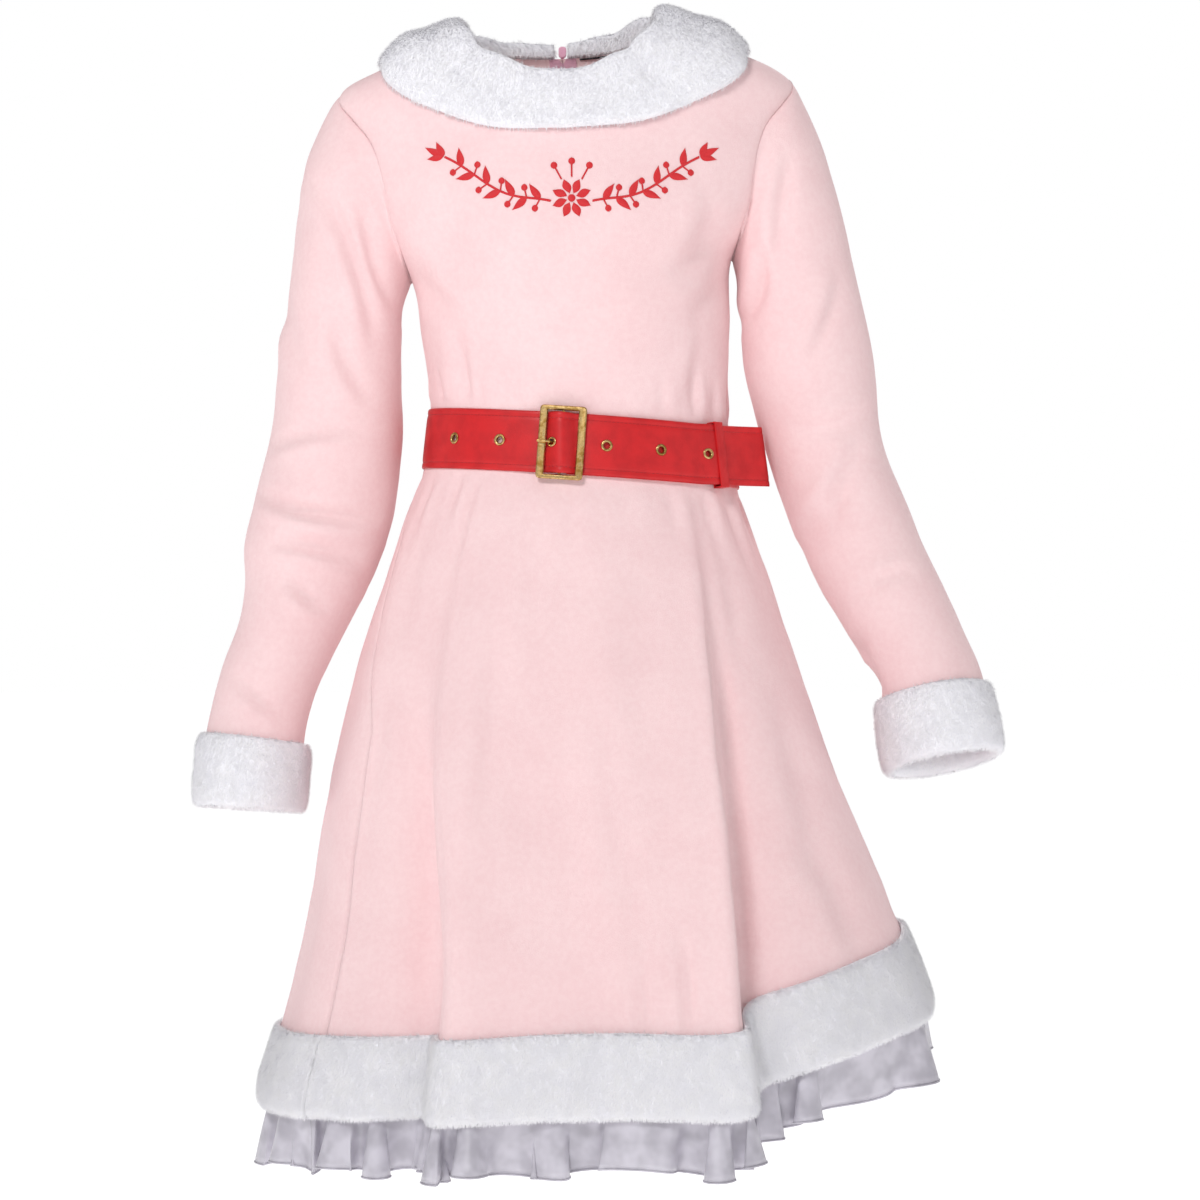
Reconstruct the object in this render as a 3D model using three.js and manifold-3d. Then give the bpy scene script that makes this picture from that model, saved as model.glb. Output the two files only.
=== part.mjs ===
import * as THREE from 'three';
import { mergeVertices } from 'three/addons/utils/BufferGeometryUtils.js';
import Module from 'manifold-3d';

// A long-sleeved pink fleece dress that keeps the shape of its wearer: white fur collar, cuffs and
// hem band, a gathered frill under the hem, and a wide red belt with a brass buckle.
// Millimetres, +Z up. The front faces -Y and the wearer's left is +X.
// The origin is midway between the points where the shoulder seams meet the neck.

// Driving sizes
const CLOTH = 2;
const SEAM = 0.3;
const FUR = 10;
const HEM_BAND = 68;
const HEM_TURN = 8;
const FRILL_DROP = 44;
const FRILL_CLOTH = 1.2;
const FRILL_WAVES = 14;
const FRILL_SWING = 11;
const NECK_FRONT = -58;
const NECK_BACK = -12;
const SHOULDER_TIP = -46;
const UNDERARM = -211;
const BELT_MIDDLE = -367;
const BELT_WIDTH = 52.5;
const BELT_CLOTH = 2;
const BELT_REST = 1.4;
const EYELET_PITCH = 48;
const EYELETS = 6;
const BUCKLE = { width: 40, height: 63, window: 55, bar: 6.7, back: 5.2, thick: 3.4, centreBar: 1.3 };

// Level rings of the dress: height, middle, half width, depth to the front and to the back,
// and how far the ring rises at the wearer's left side
const SECTIONS = [
  { z: 14, middle: -6, half: 58, front: 52, back: 50, lift: 5 },
  { z: 0, middle: -6, half: 86, front: 64, back: 62, lift: 5 },
  { z: -46, middle: -1, half: 195, front: 84, back: 78, lift: 6 },
  { z: -100, middle: 1, half: 191, front: 104, back: 96, lift: 8 },
  { z: -160, middle: 3, half: 176, front: 118, back: 105, lift: 9 },
  { z: -190, middle: 4, half: 156, front: 121, back: 107, lift: 10 },
  { z: -211, middle: 4, half: 140, front: 121, back: 107, lift: 10 },
  { z: -258, middle: 7, half: 136, front: 115, back: 103, lift: 5 },
  { z: -341, middle: 11, half: 131, front: 101, back: 97, lift: -9 },
  { z: -394, middle: 12, half: 138, front: 106, back: 102, lift: -9 },
  { z: -425, middle: 10, half: 149, front: 117, back: 112, lift: -6 },
  { z: -470, middle: 10, half: 165, front: 131, back: 126, lift: -3 },
  { z: -540, middle: 10, half: 187, front: 148, back: 142, lift: 0 },
  { z: -620, middle: 14, half: 210, front: 165, back: 160, lift: 0 },
  { z: -700, middle: 23, half: 233, front: 180, back: 177, lift: 0 },
  { z: -800, middle: 36, half: 262, front: 198, back: 197, lift: 0 },
  { z: -925, middle: 42, half: 302, front: 216, back: 218, lift: 0 },
];

// Lowest edge of the fur band, by angle round the dress from the front
const HEM = [
  { angle: -180, z: -900 },
  { angle: -135, z: -925 },
  { angle: -90, z: -940 },
  { angle: -60, z: -937 },
  { angle: -30, z: -930 },
  { angle: 0, z: -922 },
  { angle: 23, z: -920 },
  { angle: 34, z: -898 },
  { angle: 60, z: -866 },
  { angle: 90, z: -851 },
  { angle: 135, z: -868 },
  { angle: 180, z: -900 },
];

// Skirt folds: angle at the waist and at the hem, spread in degrees, how far they stand out and
// lean sideways at the hem, and the heights where they begin and are full
const FOLDS = [
  { waist: 41, hem: 23, spread: 5, out: 24, lean: 11, from: -400, full: -780 },
  { waist: 54, hem: 32, spread: 5.5, out: -17, lean: 0, from: -400, full: -800 },
  { waist: -39, hem: -29.5, spread: 5, out: 20, lean: -10, from: -400, full: -800 },
  { waist: -52, hem: -38.5, spread: 5, out: -17, lean: 0, from: -400, full: -840 },
  { waist: 8, hem: 7, spread: 5, out: 7, lean: 3, from: -400, full: -700 },
  { waist: -62, hem: -66, spread: 7, out: 8, lean: 0, from: -400, full: -700 },
  { waist: 72, hem: 66, spread: 9, out: 8, lean: 0, from: -420, full: -760 },
  { waist: 128, hem: 124, spread: 10, out: 17, lean: 4, from: -400, full: -820 },
  { waist: 158, hem: 156, spread: 10, out: -12, lean: 0, from: -400, full: -800 },
  { waist: -155, hem: -152, spread: 10, out: 16, lean: -4, from: -400, full: -820 },
  { waist: -118, hem: -112, spread: 9, out: -10, lean: 0, from: -400, full: -760 },
  { waist: -92, hem: -92, spread: 9, out: 7, lean: 0, from: -420, full: -760 },
];

// Lines that the columns of the front panel follow, and the number of columns up to the next line
const FRONT_LINES = [
  { waist: -88, hem: -58, columns: 4 },
  { waist: -66, hem: -47, columns: 2 },
  { waist: -52, hem: -38.5, columns: 2 },
  { waist: -39, hem: -29.5, columns: 2 },
  { waist: -26, hem: -20, columns: 4 },
  { waist: 27, hem: 13, columns: 2 },
  { waist: 41, hem: 23, columns: 2 },
  { waist: 54, hem: 32, columns: 2 },
  { waist: 66, hem: 42, columns: 5 },
  { waist: 90, hem: 102, columns: 0 },
];
const BACK_COLUMNS = 14;
const SHOULDER_COLUMNS = 6;
const YOKE_ROWS = 8;
const HEM_ROWS = [0, 28, HEM_BAND - HEM_TURN];
const SKIRT_SHARES = [0.28, 0.53, 0.77];
const LEVELS = [
  -620, -540, -470, -425, BELT_MIDDLE - BELT_WIDTH / 2, BELT_MIDDLE, BELT_MIDDLE + BELT_WIDTH / 2,
  -305, -258, UNDERARM,
];

// How far each armhole edge curves in from the side, by share of its height
const ARMHOLE = [
  { share: 0, curve: 0 },
  { share: 0.1, curve: 16 },
  { share: 0.3, curve: 27 },
  { share: 0.6, curve: 29 },
  { share: 0.85, curve: 19 },
  { share: 1, curve: 0 },
];

// Sleeve rings below the armhole: outer and inner point seen from the front, place from front to
// back, half depth, and how far in degrees the ring tips with the bent forearm
const RIGHT_SLEEVE = [
  { outX: -216, outZ: -78, inX: -140, inZ: -227, y: 0, depth: 57, forward: 0 },
  { outX: -228, outZ: -112, inX: -143, inZ: -238, y: 1, depth: 58, forward: 0 },
  { outX: -235, outZ: -155, inX: -145, inZ: -253, y: 2, depth: 58, forward: 0 },
  { outX: -241, outZ: -200, inX: -146, inZ: -271, y: 3, depth: 57, forward: 0 },
  { outX: -249, outZ: -250, inX: -146, inZ: -294, y: 4, depth: 56, forward: 0 },
  { outX: -255, outZ: -300, inX: -146, inZ: -322, y: 5, depth: 56, forward: 0 },
  { outX: -260, outZ: -345, inX: -145, inZ: -353, y: 6, depth: 56, forward: 1 },
  { outX: -268, outZ: -385, inX: -148, inZ: -391, y: 6, depth: 56, forward: 3 },
  { outX: -276, outZ: -416, inX: -154, inZ: -430, y: 4, depth: 55, forward: 5 },
  { outX: -284, outZ: -450, inX: -167, inZ: -470, y: 1, depth: 52, forward: 6 },
  { outX: -283, outZ: -484, inX: -186, inZ: -508, y: -3, depth: 48, forward: 7 },
  { outX: -289, outZ: -522, inX: -205, inZ: -546, y: -8, depth: 45, forward: 7 },
  { outX: -304, outZ: -566, inX: -222, inZ: -585, y: -13, depth: 43, forward: 7 },
  { outX: -315, outZ: -616, inX: -230, inZ: -626, y: -19, depth: 42, forward: 6 },
  { outX: -319, outZ: -672, inX: -233, inZ: -678, y: -25, depth: 43, forward: 5 },
];
const LEFT_SLEEVE = [
  { outX: 210, outZ: -62, inX: 147, inZ: -206, y: 0, depth: 57, forward: 0 },
  { outX: 223, outZ: -95, inX: 149, inZ: -216, y: 1, depth: 58, forward: 0 },
  { outX: 235, outZ: -132, inX: 151, inZ: -230, y: 2, depth: 58, forward: 0 },
  { outX: 245, outZ: -172, inX: 152, inZ: -248, y: 3, depth: 57, forward: 0 },
  { outX: 256, outZ: -222, inX: 154, inZ: -272, y: 4, depth: 56, forward: 0 },
  { outX: 266, outZ: -265, inX: 157, inZ: -300, y: 5, depth: 56, forward: 0 },
  { outX: 272, outZ: -305, inX: 164, inZ: -330, y: 6, depth: 56, forward: 2 },
  { outX: 274, outZ: -340, inX: 174, inZ: -364, y: 6, depth: 55, forward: 6 },
  { outX: 281, outZ: -374, inX: 186, inZ: -402, y: 4, depth: 53, forward: 10 },
  { outX: 299, outZ: -418, inX: 203, inZ: -446, y: -4, depth: 50, forward: 13 },
  { outX: 313, outZ: -454, inX: 222, inZ: -487, y: -14, depth: 48, forward: 14 },
  { outX: 331, outZ: -494, inX: 243, inZ: -524, y: -24, depth: 46, forward: 14 },
  { outX: 349, outZ: -534, inX: 260, inZ: -556, y: -34, depth: 45, forward: 14 },
  { outX: 362, outZ: -572, inX: 272, inZ: -588, y: -43, depth: 45, forward: 14 },
  { outX: 370, outZ: -626, inX: 280, inZ: -642, y: -57, depth: 46, forward: 14 },
];

// Section of each cuff: place along the sleeve's last step, and distance out from the sleeve
const CUFF_PROFILE = [
  { along: 0, out: 0.5 },
  { along: 1, out: 0.5 },
  { along: 1.012, out: -2.5 },
  { along: 0.6, out: -2.5 },
  { along: 0.6, out: -7.5 },
  { along: 1.02, out: -8.5 },
  { along: 1.12, out: -2.5 },
  { along: 1.14, out: 3.5 },
  { along: 1.08, out: 10 },
  { along: 0.8, out: 12.5 },
  { along: 0.3, out: 12 },
  { along: 0.02, out: 9 },
  { along: -0.07, out: 4.5 },
];

// Outer edge of the collar: turn round the neck from the front, height, and angle on the body
const COLLAR_EDGE = [
  { turn: 0, z: -100, angle: 0 },
  { turn: 25, z: -95, angle: 20 },
  { turn: 50, z: -71, angle: 38 },
  { turn: 72, z: -40, angle: 58 },
  { turn: 82, z: -31, angle: 73 },
  { turn: 90, z: -28, angle: 90 },
  { turn: 98, z: -31, angle: 107 },
  { turn: 110, z: -42, angle: 124 },
  { turn: 135, z: -64, angle: 144 },
  { turn: 180, z: -78, angle: 180 },
];
const COLLAR_OPENING = 6;
const COLLAR_STEPS = 34;

// Route of the belt through the buckle: distance from its middle and depth off the dress
const BUCKLE_ROUTE = [
  { across: -45, depth: 1.4 },
  { across: -24, depth: 2.6 },
  { across: -12, depth: 3.6 },
  { across: -2.5, depth: 8.8 },
  { across: 2.5, depth: 8.8 },
  { across: 11.6, depth: 3.75 },
  { across: 24, depth: 3.75 },
];
const PRONG_ROUTE = [
  { across: -3.6, depth: 4.4 },
  { across: -6.2, depth: 4.9 },
  { across: -9.6, depth: 7.2 },
  { across: -12.6, depth: 10.1 },
  { across: -16.2, depth: 10.1 },
  { across: -20.6, depth: 9.7 },
];
const PRONG_EYELET = { index: 2, place: -6.83 };
const KEEPER = { distance: 145, width: 11, lift: 3.8, flat: 7, spread: 22, leather: 1.4, space: 1 };
const TIP = { turn: 26, length: 48 };

// Colours and surfaces
const FLEECE = new THREE.MeshStandardMaterial({ color: 0xf3cfd4, roughness: 0.95, metalness: 0 });
const WHITE_FUR = new THREE.MeshStandardMaterial({ color: 0xf1eff5, roughness: 1, metalness: 0 });
const SATIN = new THREE.MeshStandardMaterial({ color: 0xe3e2ea, roughness: 0.4, metalness: 0 });
const RED_LEATHER = new THREE.MeshStandardMaterial({ color: 0xc81e22, roughness: 0.45, metalness: 0 });
const BRASS = new THREE.MeshStandardMaterial({ color: 0xb08a4e, roughness: 0.35, metalness: 1 });
const PINK_ZIP = new THREE.MeshStandardMaterial({ color: 0xefb3c8, roughness: 0.4, metalness: 0 });
const BLACK_TAPE = new THREE.MeshStandardMaterial({ color: 0x1a1820, roughness: 0.7, metalness: 0 });

// Small number and table helpers
const radians = (degrees) => degrees * Math.PI / 180;
const mix = (a, b, share) => a + (b - a) * share;
const limit = (value) => Math.min(1, Math.max(0, value));

function ease(from, to, value) {
  const share = limit((value - from) / (to - from));
  return share * share * (3 - 2 * share);
}

// Every column of a table at a value of its key column, on a smooth curve through the rows
function readTable(rows, key, value) {
  const order = Math.sign(rows[rows.length - 1][key] - rows[0][key]);
  const found = rows.findIndex((row) => (row[key] - value) * order > 0);
  const next = found === -1 ? rows.length - 1 : Math.max(found, 1);
  const [a, b] = [rows[next - 1], rows[next]];
  const before = rows[Math.max(next - 2, 0)];
  const after = rows[Math.min(next + 1, rows.length - 1)];
  const span = b[key] - a[key];
  const t = limit((value - a[key]) / span);
  const result = {};
  for (const column of Object.keys(a)) {
    const slopeA = span * (b[column] - before[column]) / (b[key] - before[key]);
    const slopeB = span * (after[column] - a[column]) / (after[key] - a[key]);
    result[column] = a[column] * (1 + 2 * t) * (1 - t) ** 2 + slopeA * t * (1 - t) ** 2
      + b[column] * t * t * (3 - 2 * t) + slopeB * t * t * (t - 1);
  }
  return result;
}

// Dress surface: outer point at an angle round the body, 0 at the front and 90 at the wearer's left
function skin(angle, height) {
  const ring = readTable(SECTIONS, 'z', height);
  const sine = Math.sin(radians(angle));
  const cosine = Math.cos(radians(angle));
  const depth = cosine > 0 ? ring.front : ring.back;
  const point = new THREE.Vector3(
    ring.middle + ring.half * sine, -depth * cosine, height + ring.lift * sine);
  const outward = new THREE.Vector3(sine / ring.half, -cosine / depth, 0).normalize();
  const around = new THREE.Vector3(-outward.y, outward.x, 0);
  for (const fold of FOLDS) {
    const centre = mix(fold.waist, fold.hem, limit((height - fold.from) / (-900 - fold.from)));
    const offset = (((angle - centre + 540) % 360) - 180) / fold.spread;
    const weight = Math.exp(-offset * offset / 2) * ease(fold.from, fold.full, height);
    point.addScaledVector(outward, fold.out * weight);
    point.addScaledVector(around, fold.lean * weight);
  }
  return point;
}

function skinNormal(angle, height) {
  const around = skin(angle + 0.5, height).sub(skin(angle - 0.5, height));
  const upward = skin(angle, height + 1).sub(skin(angle, height - 1));
  return around.cross(upward).normalize();
}

const hemHeight = (angle) => readTable(HEM, 'angle', angle).z + HEM_TURN;

// Neckline: place on the body at an angle round the neck
function necklineSpot(turn) {
  const cosine = Math.cos(radians(turn));
  const height = cosine > 0 ? NECK_FRONT * cosine ** 1.3 : NECK_BACK * -cosine;
  const neck = readTable(SECTIONS, 'z', 0);
  const x = neck.middle + neck.half * Math.sin(radians(turn));
  const angle = angleAt(x, height, Math.sign(cosine));
  return { angle: Math.abs(turn) > 179.9 ? turn : angle, height };
}

// Angle of one of a panel's columns at a height in the skirt
function lineAngle(lines, column, height) {
  const drop = limit((height - BELT_MIDDLE) / (-900 - BELT_MIDDLE));
  const early = Math.min(1, drop * 2.2);
  let first = 0;
  for (let i = 0; i < lines.length - 1; i += 1) {
    const share = (column - first) / lines[i].columns;
    if (share <= 1) {
      const from = mix(lines[i].waist, lines[i].hem, i === 0 ? early : drop);
      const to = mix(lines[i + 1].waist, lines[i + 1].hem, i + 2 === lines.length ? early : drop);
      return mix(from, to, share);
    }
    first += lines[i].columns;
  }
  return lines[lines.length - 1].hem;
}

// Place of a row in the skirt below the underarm
function rowHeight(row, angle) {
  const hem = hemHeight(angle);
  if (row < HEM_ROWS.length) return hem + HEM_ROWS[row];
  const skirtRow = row - HEM_ROWS.length;
  const bandTop = hem + HEM_ROWS[HEM_ROWS.length - 1];
  if (skirtRow < SKIRT_SHARES.length) return mix(bandTop, LEVELS[0], SKIRT_SHARES[skirtRow]);
  return LEVELS[skirtRow - SKIRT_SHARES.length];
}

const LOW_ROWS = HEM_ROWS.length + SKIRT_SHARES.length + LEVELS.length;
const ROWS = LOW_ROWS + YOKE_ROWS;
const BELT_ROW = LOW_ROWS - 5;
const ZIP_ROW = 7;

// Angle on the body of a place seen from the front: facing is 1 on the front and -1 on the back
function angleAt(x, height, facing) {
  const ring = readTable(SECTIONS, 'z', height);
  const sine = Math.max(-1, Math.min(1, (x - ring.middle) / ring.half));
  const angle = Math.asin(sine) * 180 / Math.PI;
  return facing === 1 ? angle : (Math.sign(angle) || 1) * 180 - angle;
}

function placeAt({ angle, height }) {
  const ring = readTable(SECTIONS, 'z', height);
  return { x: ring.middle + ring.half * Math.sin(radians(angle)), height };
}

// Spot in the yoke, between four edges given as functions of share, blended as seen from the front
function yokeSpot({ bottom, top, left, right, facing, side }, across, up) {
  const place = {};
  for (const part of ['x', 'height']) {
    const at = (edge, share) => placeAt(edge(share))[part];
    const corners = (1 - across) * (1 - up) * at(bottom, 0) + across * (1 - up) * at(bottom, 1)
      + (1 - across) * up * at(top, 0) + across * up * at(top, 1);
    place[part] = (1 - up) * at(bottom, across) + up * at(top, across)
      + (1 - across) * at(left, up) + across * at(right, up) - corners;
  }
  const angle = angleAt(place.x, place.height, facing);
  const wrong = side && Math.sign(angle) !== side;
  return { angle: wrong ? side * 180 : angle, height: place.height };
}

// Rows crowd towards the shoulder, where the yoke turns over
const yokeShare = (step) => 1 - (1 - step / YOKE_ROWS) ** 2;

// A panel holds its outer points and normals, by column and row from the hem to the top.
// plan gives the column lines, the yoke's edges and which way its seams are drawn in.
function makePanel(plan) {
  const count = plan.lines.reduce((sum, line) => sum + line.columns, 0);
  const points = [];
  const normals = [];
  for (let column = 0; column <= count; column += 1) {
    points.push([]);
    normals.push([]);
    for (let row = 0; row < ROWS; row += 1) {
      let spot;
      if (row < LOW_ROWS) {
        const guess = lineAngle(plan.lines, column, rowHeight(row, 0));
        const height = rowHeight(row, guess);
        spot = { angle: lineAngle(plan.lines, column, height), height };
      } else {
        spot = yokeSpot(plan.edges(count), column / count, yokeShare(row - LOW_ROWS + 1));
      }
      const point = skin(spot.angle, spot.height);
      const normal = skinNormal(spot.angle, spot.height);
      const shift = plan.seamShift(column, row, count) * SEAM / 2;
      point.addScaledVector(new THREE.Vector3(-normal.y, normal.x, 0).normalize(), shift);
      points[column].push(point);
      normals[column].push(normal);
    }
  }
  return { points, normals, columns: count };
}

// Point on a panel between its columns and rows, moved out along its normal
function panelPoint(panel, column, row, out) {
  const left = Math.min(Math.floor(column), panel.columns - 1);
  const low = Math.min(Math.floor(row), ROWS - 2);
  const corner = (grid, c, r) => grid[left + c][low + r].clone();
  const blend = (grid) => corner(grid, 0, 0).lerp(corner(grid, 1, 0), column - left)
    .lerp(corner(grid, 0, 1).lerp(corner(grid, 1, 1), column - left), row - low);
  return blend(panel.points).addScaledVector(blend(panel.normals).normalize(), out);
}

// The armhole edge curves in from the side seam and meets the shoulder seam at the tip
function armholeSpot(side, facing, up) {
  const curve = readTable(ARMHOLE, 'share', up).curve;
  return { angle: side * (90 - facing * curve), height: mix(UNDERARM, SHOULDER_TIP, up) };
}

// Share of the way along a shoulder seam, from the tip to the neck
const shoulderSpot = (side, share) => ({ angle: side * 90, height: mix(SHOULDER_TIP, 0, share) });

function frontEdges(count) {
  return {
    bottom: (u) => ({ angle: lineAngle(FRONT_LINES, u * count, UNDERARM), height: UNDERARM }),
    top: (u) => {
      const column = u * count;
      if (column <= SHOULDER_COLUMNS) return shoulderSpot(-1, column / SHOULDER_COLUMNS);
      if (column >= count - SHOULDER_COLUMNS) {
        return shoulderSpot(1, (count - column) / SHOULDER_COLUMNS);
      }
      return necklineSpot(mix(-90, 90, (column - SHOULDER_COLUMNS) / (count - 2 * SHOULDER_COLUMNS)));
    },
    left: (v) => armholeSpot(-1, 1, v),
    right: (v) => armholeSpot(1, 1, v),
    facing: 1,
  };
}

// Back halves run from the side seam to the zip: side is -1 for the wearer's right
function backEdges(side, count) {
  const lines = backLines(side);
  const centre = (v) => ({ angle: side * 180, height: mix(UNDERARM, NECK_BACK, v) });
  const topAt = (fromSide) => {
    if (fromSide <= SHOULDER_COLUMNS) return shoulderSpot(side, fromSide / SHOULDER_COLUMNS);
    const share = (fromSide - SHOULDER_COLUMNS) / (count - SHOULDER_COLUMNS);
    return necklineSpot(side * mix(90, 180, share));
  };
  const sideEdge = (v) => armholeSpot(side, -1, v);
  return {
    bottom: (u) => ({ angle: lineAngle(lines, u * count, UNDERARM), height: UNDERARM }),
    top: (u) => topAt(side === 1 ? u * count : (1 - u) * count),
    left: side === 1 ? sideEdge : centre,
    right: side === 1 ? centre : sideEdge,
    facing: -1,
    side,
  };
}

function backLines(side) {
  const last = FRONT_LINES[FRONT_LINES.length - 1];
  if (side === 1) {
    return [
      { waist: last.waist, hem: last.hem, columns: BACK_COLUMNS },
      { waist: 180, hem: 180, columns: 0 },
    ];
  }
  return [
    { waist: -180, hem: -180, columns: BACK_COLUMNS },
    { waist: FRONT_LINES[0].waist, hem: FRONT_LINES[0].hem, columns: 0 },
  ];
}

// Seams are drawn in by half their space, away from the piece beside them
function frontSeam(column, row, count) {
  const onTop = row === ROWS - 1 && (column <= SHOULDER_COLUMNS || column >= count - SHOULDER_COLUMNS);
  if (column !== 0 && column !== count && !onTop) return 0;
  return column < count / 2 ? 1 : -1;
}

function backSeam(side, column, row, count) {
  const fromSide = side === 1 ? column : count - column;
  if (fromSide === count) return -side;
  if (fromSide === 0 || (row === ROWS - 1 && fromSide <= SHOULDER_COLUMNS)) return side;
  return 0;
}

// Meshes
function meshFrom(name, geometry, material) {
  const mesh = new THREE.Mesh(geometry, material);
  mesh.name = name;
  return mesh;
}

function signedVolume(points, index) {
  let sum = 0;
  for (let i = 0; i < index.length; i += 3) {
    const [a, b, c] = [points[index[i]], points[index[i + 1]], points[index[i + 2]]];
    sum += a.dot(b.clone().cross(c));
  }
  return sum / 6;
}

// Joins closed loops of points into one body. An open row of loops is capped by strips between
// the two halves of its first and last loop, and its quads are split alike on both halves, so
// that the two faces of a twisted wall stay apart.
function loft(loops, closed) {
  const count = loops[0].length;
  const points = loops.flat();
  const index = [];
  const spans = closed ? loops.length : loops.length - 1;
  for (let i = 0; i < spans; i += 1) {
    const here = i * count;
    const there = ((i + 1) % loops.length) * count;
    for (let k = 0; k < count; k += 1) {
      const next = (k + 1) % count;
      if (closed || k < count / 2) {
        index.push(here + k, here + next, there + next, here + k, there + next, there + k);
      } else {
        index.push(here + k, here + next, there + k, here + next, there + next, there + k);
      }
    }
  }
  if (!closed) {
    const last = (loops.length - 1) * count;
    for (let k = 0; k < count / 2 - 1; k += 1) {
      const m = count - 1 - k;
      index.push(k, m, m - 1, k, m - 1, k + 1);
      index.push(last + k, last + m - 1, last + m, last + k, last + k + 1, last + m - 1);
    }
  }
  if (signedVolume(points, index) < 0) index.reverse();
  const geometry = new THREE.BufferGeometry();
  geometry.setAttribute('position',
    new THREE.Float32BufferAttribute(points.flatMap((point) => point.toArray()), 3));
  geometry.setIndex(index);
  geometry.computeVertexNormals();
  return geometry;
}

// A wall from a panel's own points: loops run up its outer face and down its inner face
function panelWall(panel) {
  const loops = panel.points.map((column, c) => {
    const inner = column.map((_, row) => panelPoint(panel, c, row, -CLOTH));
    return [...column, ...inner.reverse()];
  });
  return loft(loops, false);
}

const front = makePanel({ lines: FRONT_LINES, edges: frontEdges, seamShift: frontSeam });
const backLeft = makePanel({
  lines: backLines(1),
  edges: (count) => backEdges(1, count),
  seamShift: (column, row, count) => backSeam(1, column, row, count),
});
const backRight = makePanel({
  lines: backLines(-1),
  edges: (count) => backEdges(-1, count),
  seamShift: (column, row, count) => backSeam(-1, column, row, count),
});

const costume = new THREE.Group();
costume.add(meshFrom('front', panelWall(front), FLEECE));
costume.add(meshFrom('back_left', panelWall(backLeft), FLEECE));
costume.add(meshFrom('back_right', panelWall(backRight), FLEECE));

// Sleeves: the first ring is the armhole, taken from the edges of the panels
const RING = 2 * YOKE_ROWS;

function armholeRing(side) {
  const [backPanel, backColumn] = side === 1 ? [backLeft, 0] : [backRight, backRight.columns];
  const frontColumn = side === 1 ? front.columns : 0;
  const edge = (panel, column, step) => panel.points[column][LOW_ROWS - 1 + step].clone();
  const ring = [];
  for (let k = 0; k < RING; k += 1) {
    const step = k <= YOKE_ROWS ? k : RING - k;
    const frontPoint = edge(front, frontColumn, step);
    const backPoint = edge(backPanel, backColumn, step);
    if (step === 0 || step === YOKE_ROWS) ring.push(frontPoint.lerp(backPoint, 0.5));
    else ring.push(k < YOKE_ROWS ? frontPoint : backPoint);
  }
  const upward = ring[YOKE_ROWS].clone().sub(ring[0]);
  const away = upward.cross(new THREE.Vector3(0, 1, 0)).normalize();
  if (away.x * side < 0) away.negate();
  return ring.map((point) => point.addScaledVector(away, 1.5 * SEAM));
}

function sleeveRings(table, side) {
  const rings = [armholeRing(side)];
  table.forEach((row, i) => {
    const outer = new THREE.Vector3(row.outX, row.y, row.outZ);
    const inner = new THREE.Vector3(row.inX, row.y, row.inZ);
    const centre = outer.clone().lerp(inner, 0.5);
    const toInner = inner.clone().sub(centre);
    const tip = radians(row.forward);
    const toFront = new THREE.Vector3(0, -Math.cos(tip), Math.sin(tip)).multiplyScalar(row.depth);
    const ring = [];
    for (let k = 0; k < RING; k += 1) {
      const angle = 2 * Math.PI * k / RING;
      const point = centre.clone().addScaledVector(toInner, Math.cos(angle))
        .addScaledVector(toFront, Math.sin(angle));
      if (i === 0) point.lerp(rings[0][k], 0.35);
      ring.push(point);
    }
    rings.push(ring);
  });
  return rings;
}

// A ring's points moved out from its middle
function grow(ring, out) {
  const centre = new THREE.Vector3();
  ring.forEach((point) => centre.addScaledVector(point, 1 / ring.length));
  return ring.map((point) => {
    const arm = point.clone().sub(centre);
    return point.clone().addScaledVector(arm.normalize(), out);
  });
}

// Joins rings listed along a closed profile into a tube with its wall
function ringWall(profile) {
  const loops = profile[0].map((_, k) => profile.map((ring) => ring[k]));
  return loft(loops, true);
}

function sleeveWall(rings) {
  return ringWall([...rings, ...rings.map((ring) => grow(ring, -CLOTH)).reverse()]);
}

// Cuff: fur outside the sleeve's end, turned round its edge and up inside the mouth
function cuffWall(rings) {
  const end = rings[rings.length - 1];
  const start = rings[rings.length - 2];
  return ringWall(CUFF_PROFILE.map(({ along, out }) => {
    return grow(start.map((point, k) => point.clone().lerp(end[k], along)), out);
  }));
}

for (const [name, side, table] of [['right', -1, RIGHT_SLEEVE], ['left', 1, LEFT_SLEEVE]]) {
  const rings = sleeveRings(table, side);
  costume.add(meshFrom(`sleeve_${name}`, sleeveWall(rings), FLEECE));
  costume.add(meshFrom(`cuff_${name}`, cuffWall(rings), WHITE_FUR));
}

// Collar: sewn to the neckline, rolled over at the neck and lying on the shoulders and chest
function collarLoop(turn) {
  const side = Math.sign(turn) || 1;
  const edge = readTable(COLLAR_EDGE, 'turn', Math.abs(turn));
  const neck = necklineSpot(turn);
  const on = (share, out) => {
    const angle = mix(neck.angle, side * edge.angle, share);
    const height = mix(neck.height, edge.z, share);
    return skin(angle, height).addScaledVector(skinNormal(angle, height), out);
  };
  const seam = skin(neck.angle, neck.height);
  const outward = new THREE.Vector3(Math.sin(radians(turn)), -Math.cos(radians(turn)), 0);
  const at = (out, up) => seam.clone().addScaledVector(outward, out).add(new THREE.Vector3(0, 0, up));
  const crest = 14 + 3 * Math.sin(radians(Math.abs(turn)));
  const ridge = Math.sin(radians(Math.abs(turn))) ** 8;
  const rest = 1 + 2.2 * ridge;
  return [
    at(-3.5, 0.5 + ridge), at(0.5, 0.9 + ridge), on(0.07, rest + 0.3), on(0.14, rest + 0.3),
    on(0.35, rest), on(0.65, rest), on(0.92, rest), on(0.985, rest + 0.4),
    on(1, 5.5), on(0.95, 9.5), on(0.65, 11.5), on(0.33, 12.5),
    at(5, crest), at(-3, crest), at(-8.5, 8), at(-8, 1),
  ];
}

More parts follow.
